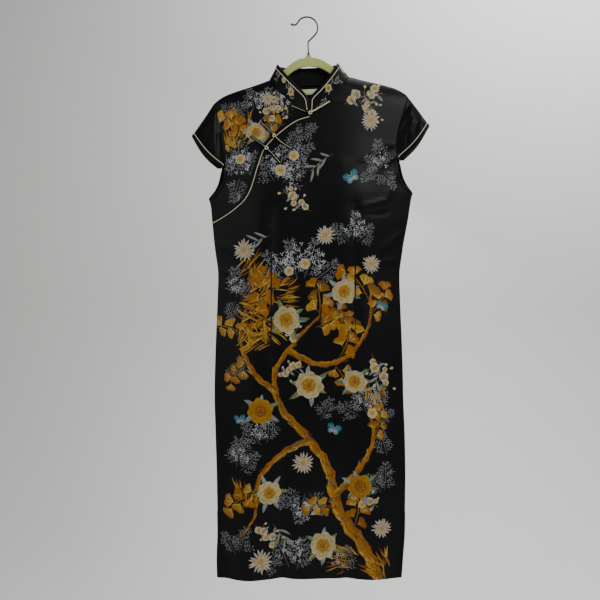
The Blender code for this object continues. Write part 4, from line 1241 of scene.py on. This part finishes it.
def piped(name, edge, tree, width, finish):  # a cord beside a binding
    points, inside, outs = edge
    radius = trim["piping"] / 2
    raw = points + inside * (width + radius + trim["beside"] * np.ones(len(points)))[:, None]
    spots, ways = onCloth(tree, raw, outs)
    return merged(name, [(*tube(spots + ways * (radius + 0.0002), radius), 0)], [finish])


# finishes
def addNode(tree, kind, values, vector=None, **settings):
    made = tree.nodes.new("ShaderNode" + kind)
    for name, value in settings.items():
        setattr(made, name, value)
    setInputs(made, values)
    if vector:
        tree.links.new(vector, made.inputs["Vector"])
    return made


def satin(name, tint, printed, rough=0.40, shine=0.13):
    values = {"Specular IOR Level": shine, "Sheen Weight": 0.01, "Sheen Roughness": 0.45}
    if not printed:
        values["Base Color"] = (*tint, 1.0)
    made, tree, shader = newMaterial(name, values)
    link, where = tree.links.new, addNode(tree, "TexCoord", {}).outputs["Object"]
    threads = {"Scale": 620.0, "Distortion": 0.6, "Detail": 0.0}
    weave = addNode(tree, "TexWave", threads, where, bands_direction="DIAGONAL")
    slub = addNode(tree, "TexNoise", {"Scale": 26.0, "Detail": 4.0}, where)
    fine = addNode(tree, "Bump", {"Strength": 0.10, "Distance": 0.0002})
    soft = addNode(tree, "Bump", {"Strength": 0.22, "Distance": 0.0022})
    gloss = addNode(tree, "MapRange", {"To Min": rough - 0.05, "To Max": rough + 0.08})
    link(weave.outputs["Fac"], fine.inputs["Height"])
    link(slub.outputs["Fac"], soft.inputs["Height"])
    link(soft.outputs["Normal"], fine.inputs["Normal"])
    link(fine.outputs["Normal"], shader.inputs["Normal"])
    link(slub.outputs["Fac"], gloss.inputs["Value"])
    link(gloss.outputs["Result"], shader.inputs["Roughness"])
    if printed:  # the ink lies a little unevenly
        picture = addNode(tree, "Attribute", {}, attribute_name="print")
        brushed = addNode(tree, "TexNoise", {"Scale": 520.0, "Detail": 3.0, "Distortion": 1.2}, where)
        spread = {"From Min": 0.30, "From Max": 0.70, "To Min": 0.58, "To Max": 1.16}
        uneven = addNode(tree, "MapRange", spread)
        inked = addNode(tree, "VectorMath", {}, picture.outputs["Color"], operation="SCALE")
        link(brushed.outputs["Fac"], uneven.inputs["Value"])
        link(uneven.outputs["Result"], inked.inputs["Scale"])
        link(inked.outputs["Vector"], shader.inputs["Base Color"])
    return made


def plain(name, tint, rough, metallic, grain, strength):
    values = {"Base Color": (*tint, 1.0), "Roughness": rough, "Metallic": metallic}
    made, tree, shader = newMaterial(name, values)
    where = addNode(tree, "TexCoord", {}).outputs["Object"]
    noise = addNode(tree, "TexNoise", {"Scale": grain, "Detail": 3.0}, where)
    bump = addNode(tree, "Bump", {"Strength": strength, "Distance": 0.0004})
    tree.links.new(noise.outputs["Fac"], bump.inputs["Height"])
    tree.links.new(bump.outputs["Normal"], shader.inputs["Normal"])
    return made


printedSatin = satin("printed satin", ink["ground"], True)
reverseSatin = satin("satin reverse", (0.0050, 0.0048, 0.0056), False, 0.42, 0.10)
blackSatin = satin("black satin", ink["ground"], False, 0.38, 0.10)
satinEdge = satin("satin edge", ink["ground"], False, 0.7, 0.0)
creamPiping = plain("cream piping", (0.74, 0.68, 0.45), 0.45, 0.0, 1400.0, 0.2)
flock = plain("green flock", (0.48, 0.53, 0.18), 0.95, 0.0, 2600.0, 0.5)
paleFlock = plain("pale flock", (0.62, 0.70, 0.36), 0.95, 0.0, 2600.0, 0.5)
steel = plain("hook steel", (0.115, 0.098, 0.092), 0.32, 1.0, 60.0, 0.02)


# panels
def hungFrom(height):  # a surface of the garment as it hangs
    return lambda x, z: hung(x, height(x, z), z)


frontPoint, underlapPoint, backPoint = hungFrom(frontY), hungFrom(underlapY), hungFrom(backY)
wall = dress["cloth"]
frontShapes = composed(frontPrint, frontBoughs) + [taken(*dart) for dart in frontDarts]
(front, frontTree), (lap, lapTree), (back, backTree), (band, bandTree) = (
    panelShell(name, outline(), at, sign, thick, shapes, [printedSatin, reverseSatin, satinEdge], step)
    for name, outline, at, sign, thick, shapes, step in (  # the last is the spacing of the points inside
        ("frontPanel", frontOutline, frontPoint, 1, wall, frontShapes, 0.0067),
        ("frontUnderlap", underlapOutline, underlapPoint, 1, wall, composed(underlapPrint), 0.0058),
        ("backPanel", backOutline, backPoint, -1, wall, composed(backPrint, backBoughs), 0.0062),
        ("collarBand", bandOutline, bandPoint, -1, collar["wall"], composed(collarPrint), 0.0026),
    )
)
print("panels and collar are cut, printed and hung")

rightGrid, leftGrid = sleeveGrid(-1), sleeveGrid(1)
rightSleeve, rightTree = gridShell("sleeveRight", rightGrid, 1, wall, [blackSatin, reverseSatin])
leftSleeve, leftTree = gridShell("sleeveLeft", leftGrid, -1, wall, [blackSatin, reverseSatin])
print("sleeves are set")


def panelEdge(at, sign, line, within):
    points = at(line[:, 0], line[:, 1])
    return edgeFrame(points, surfaceNormals(at, line, sign), at(within[:, 0], within[:, 1]))


def pieceName(node):  # flap_binding becomes flapBinding
    first, *others = node.split("_")
    return first + "".join(word.capitalize() for word in others)


trims = {}


def trimmed(part, edge, tree, width, thickness, withPiping=True):
    trims[part + "_binding"] = bound(pieceName(part + "_binding"), edge, tree, width, thickness, blackSatin)
    if withPiping:
        trims[part + "_piping"] = piped(pieceName(part + "_piping"), edge, tree, width, creamPiping)


line = smoothLine(flapLine, 110)
edge = panelEdge(frontPoint, 1, line, line + np.array([0.02, -0.02]))
trimmed("flap", edge, frontTree, trim["width"], wall)
line = bandEdgeLine()
edge = panelEdge(bandPoint, -1, line, columns(line[:, 0] * 0.9, np.full(len(line), 0.010)))
run = runOf(edge[0])
narrowed = np.minimum(0.34 + 0.66 * np.minimum(run, run[-1] - run) / 0.030, 1.0)  # at its two ends
trimmed("collar", edge, bandTree, collar["binding"] * narrowed, collar["wall"])
for part, grid, sign, tree in (
    ("sleeve_right", rightGrid, 1, rightTree), ("sleeve_left", leftGrid, -1, leftTree),
):
    edge = edgeFrame(grid[:, -1], gridNormals(grid, sign)[:, -1], grid[:, -5])
    trimmed(part, edge, tree, trim["width"], wall)
frontCloth, lapCloth = (frontPoint, frontTree, 1, armholeFront), (underlapPoint, lapTree, 1, armholeFront)
backCloth = (backPoint, backTree, -1, armholeBack)
for kind, top, bottom, count, rightCloth in (
    ("armhole_", -0.322, -0.3795, 24, lapCloth), ("slit_", -1.060, -1.199, 36, frontCloth),
):
    for word, side, (at, tree, sign, armhole) in (
        ("right_front", -1, rightCloth), ("left_front", 1, frontCloth),
        ("right_back", -1, backCloth), ("left_back", 1, backCloth),
    ):
        line = sideEdge(side, armhole, top, bottom, count)
        edge = panelEdge(at, sign, line, line - np.array([side * 0.02, 0.0]))
        trimmed(kind + word, edge, tree, trim["width"], wall, False)
print("edges are bound and piped")


# knot frogs
frogs = {  # knot, angle, length and bend of the halves with the loop and the knot, width of the cream line
    "neck": ((-0.0013, -0.2120), (158, 0.043, 0.0), (31, 0.047, 0.0), 2.3),
    "chest": ((-0.0770, -0.2565), (131, 0.040, 0.25), (-40, 0.045, 0.35), 0.9),
    "side": ((-0.0935, -0.2815), (141, 0.042, 0.10), (-46, 0.043, -0.15), 0.7),
}
frogCord = {
    "radius": 0.00135, "apart": 0.00150, "cream": 0.00060, "loopBright": 0.6, "eye": 0.0042, "knot": 0.0024,
    "strand": 0.00115, "steps": 44, "core": [(-0.0002, 0.0024), (-0.0038, 0.0019)],
}


def overCloth(line, rise, ball):  # a flat route laid on the cloth, off the lapped edge and up to the knot
    heights = []
    for x, z in line:
        hits = [tree.ray_cast(Vector((x, -0.2, z)), Vector((0, 1, 0)))[0] for tree in under]
        heights.append(min((hit[1] for hit in hits if hit is not None), default=np.nan))
    heights, places = np.array(heights), np.arange(len(line))
    heights = np.interp(places, places[~np.isnan(heights)], heights[~np.isnan(heights)])
    top = np.array([heights[max(0, i - 2):i + 3].min() for i in places])
    far = np.linalg.norm(line - ball, axis=1)
    ramp = np.clip(1 - (far - 0.005) / 0.010, 0.0, 1.0)
    near = heights[np.argmin(far)] - 0.0022
    top = averaged(np.minimum(top, mix(top, near, smooth(ramp))), 3)
    return columns(line[:, 0], top - rise, line[:, 1])


def frogHalf(name, start, angle, length, bend, bright, knotted):
    size = frogCord
    way = math.radians(angle) + bend * (np.linspace(0, 1, size["steps"]) - 0.3)
    middle = start + np.cumsum(columns(np.cos(way), np.sin(way)) * length / size["steps"], axis=0)
    across = columns(-np.sin(way), np.cos(way))
    apart = np.full(len(middle), size["apart"])
    if not knotted:  # the two strands part round the knot
        far = np.linalg.norm(middle - start, axis=1)
        apart = apart + (size["eye"] - size["apart"]) * np.exp(-((far / size["eye"]) ** 2))
    apart = apart[:, None]
    turns = np.linspace(1.3, -1.3, 7)
    last = ray(way[-1])
    tip = [middle[-1] + size["apart"] * (last * math.cos(a) + across[-1] * math.sin(a)) for a in turns]
    hairpin = np.vstack([middle + across * apart, tip, (middle - across * apart)[::-1]])
    if not knotted:  # the loop passes round the knot
        eye = [start + size["eye"] * ray(a) for a in math.radians(angle) + np.linspace(-1.75, -4.5, 15)]
        hairpin = np.vstack([hairpin, eye])
    parts = [(*tube(overCloth(hairpin, size["radius"], start), size["radius"], 12, not knotted), 0)]
    parts.append((*tube(overCloth(middle[2:], size["radius"] * 1.9, start), size["cream"] * bright, 8), 1))
    if knotted:
        centre = overCloth(start[None, :], 0.0, start)[0]
        turn = np.linspace(0, 2 * math.pi, 90, endpoint=False)
        reach = 1 + 0.42 * np.cos(3 * turn)
        ball = columns(reach * np.cos(2 * turn), 0.62 * np.sin(3 * turn) - 1.1, reach * np.sin(2 * turn))
        parts.append((*tube(ball * size["knot"] + centre, size["strand"], 10, True), 1))
        core = np.array([centre + [0, depth, 0] for depth, _ in size["core"]])
        parts.append((*tube(core, [radius for _, radius in size["core"]], 12), 0))
    return merged(name, parts, [blackSatin, creamPiping])


under = [frontTree, lapTree, bandTree]  # what the frogs lie on
for node in ("flap_binding", "flap_piping", "collar_binding", "collar_piping"):
    mesh = trims[node].data
    under.append(treeOf([v.co for v in mesh.vertices], [f.vertices for f in mesh.polygons]))
fastenings = {}
for word, (place, loopHalf, knotHalf, bright) in frogs.items():
    knot = hung(place[0], 0.0, place[1])[[0, 2]]
    halves = (("_loop_half", loopHalf, frogCord["loopBright"]), ("_knot_half", knotHalf, bright))
    for kind, half, cream in halves:
        node = "frog_" + word + kind
        fastenings[node] = frogHalf(pieceName(node), knot, *half, cream, half is knotHalf)
print("frogs are tied")


# hanger and hook
hanger = {
    "wall": 0.0052, "drop": 0.0020, "band": 0.0195, "bossTop": -0.0800, "bossFoot": -0.1045, "barTop": -0.197,
    "barBottom": -0.207, "round": 0.0021, "inward": 0.925, "tieShare": 0.92,
}
hangerArch = metres([
    (6.2, -85.3), (20, -88), (33, -94), (48, -105), (62, -116.5), (78, -129.8), (90, -137.8),
])
hangerEnd = metres([  # outer x and z, inner x and z
    (200.5, -179, 183.5, -184.5), (202.2, -188, 184, -189), (200.5, -198, 183, -193.5),
    (196, -204.5, 180, -196.2), (189, -207, 175, -197),
])
tieBar = metres([
    (90, -157, 90, -170), (66, -153.5, 74, -165), (42, -153.5, 44, -166), (0, -153.5, 0, -166),
])
hook = {"wire": 0.0036, "radius": 0.023, "from": -50, "to": 135, "tip": 0.0026, "ferrule": 0.0030}
hookStem = metres([
    (0.9, -79.7), (0.9, -66), (0.9, -56), (2.2, -50.8), (6.5, -46.8),
])
hookTip = metres([
    (-19, -8.8), (-22.7, -13), (-27.5, -14.3), (-32.5, -12.5),
])
ferrule = metres([(0.9, -79.2), (0.9, -77.2)])


def slab(rows, thickness, rounding, closed):  # a flat bar between two lines, with rounded edges
    rows = np.asarray(rows, float)
    outer, inner = rows[:, :2], rows[:, 2:]
    across, face = unit(inner - outer), thickness / 2 - rounding
    rings = []
    for line, first, sign, shift in (
        (outer, 180, 1, face), (inner, 90, -1, face), (inner, 0, -1, -face), (outer, -90, 1, -face),
    ):
        for a in np.radians(np.linspace(first, first - 90, 5)):
            flat = line + across * rounding * (math.cos(a) + sign)
            rings.append(hung(flat[:, 0], shift + rounding * math.sin(a), flat[:, 1]))
    return np.array(rings).transpose(1, 0, 2).reshape(-1, 3), ringFaces(len(rows), len(rings), closed, True)


def hangerTop(x):
    arms = [(a, z - hanger["drop"]) for a, z in shoulderLine if a > hangerArch[-1][0]]
    table = np.array(hangerArch + arms)
    return np.interp(x, table[:, 0], table[:, 1])


def mirrored(rows):  # rows of one side up to the middle, and back along the other side
    return rows + [(-a, b, -c, d) for a, b, c, d in rows[-2::-1]]


def makeHanger():
    boss, foot, inward = hanger["bossTop"], hanger["bossFoot"], hanger["inward"]
    archStart = hangerArch[0][0]
    half = [(0.0, boss, 0.0, foot), (0.0050, boss - 0.0004, 0.0050, foot - 0.0001)]
    for x in (archStart, *np.linspace(0.010, 0.196, 48)):
        half.append((x, hangerTop(x), x * inward, hangerTop(max(x * inward, archStart)) - hanger["band"]))
    endX, _, endInner, _ = hangerEnd[-1]
    half += hangerEnd
    for t in (0.75, 0.5, 0.25, 0.0):
        half.append((endX * t, hanger["barBottom"], endInner * t, hanger["barTop"]))
    ring = half[:1] + mirrored(half[1:])
    bar = np.array(mirrored(tieBar))
    bar = evenly(bar, 30, runOf(bar[:, :2]))
    parts = [(*slab(ring, hanger["wall"], hanger["round"], True), 0)]
    parts.append((*slab(bar, hanger["wall"] * hanger["tieShare"], hanger["round"], False), 1))
    return merged("hangerBody", parts, [flock, paleFlock], 40)


def makeHook():
    wire, radius = hook["wire"] / 2, hook["radius"]
    turns = np.radians(np.arange(hook["from"], hook["to"] + 1, 5))
    arc = [(radius * math.cos(a), wire - radius + radius * math.sin(a)) for a in turns]
    line = smoothLine(hookStem + arc + hookTip, 150)
    radii = np.full(len(line), wire)
    radii[-6:] = np.linspace(wire, hook["tip"], 6)
    bottom = np.array(ferrule)
    parts = [(*tube(hung(line[:, 0], 0.0, line[:, 1]), radii, 14), 0)]
    parts.append((*tube(hung(bottom[:, 0], 0.0, bottom[:, 1]), hook["ferrule"], 16), 0))
    return merged("hangerHook", parts, [steel])


hangerBody, hangerHook = makeHanger(), makeHook()
print("hanger and hook are made")

pieces = {
    "hanger_body": hangerBody, "hanger_hook": hangerHook, **fastenings, "front_panel": front,
    "front_underlap": lap, "back_panel": back, "sleeve_right": rightSleeve, "sleeve_left": leftSleeve,
    "collar": band, **trims,
}
for node, piece in pieces.items():
    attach(piece, body)
    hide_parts(node)


def trimsOf(*nodes):
    return [trims[node] for node in nodes]


for piece, side, panel in ((rightSleeve, "right", "frontUnderlap"), (leftSleeve, "left", "frontPanel")):
    edge = trimsOf("sleeve_" + side + "_binding", "sleeve_" + side + "_piping")
edge = trimsOf("collar_binding", "collar_piping")
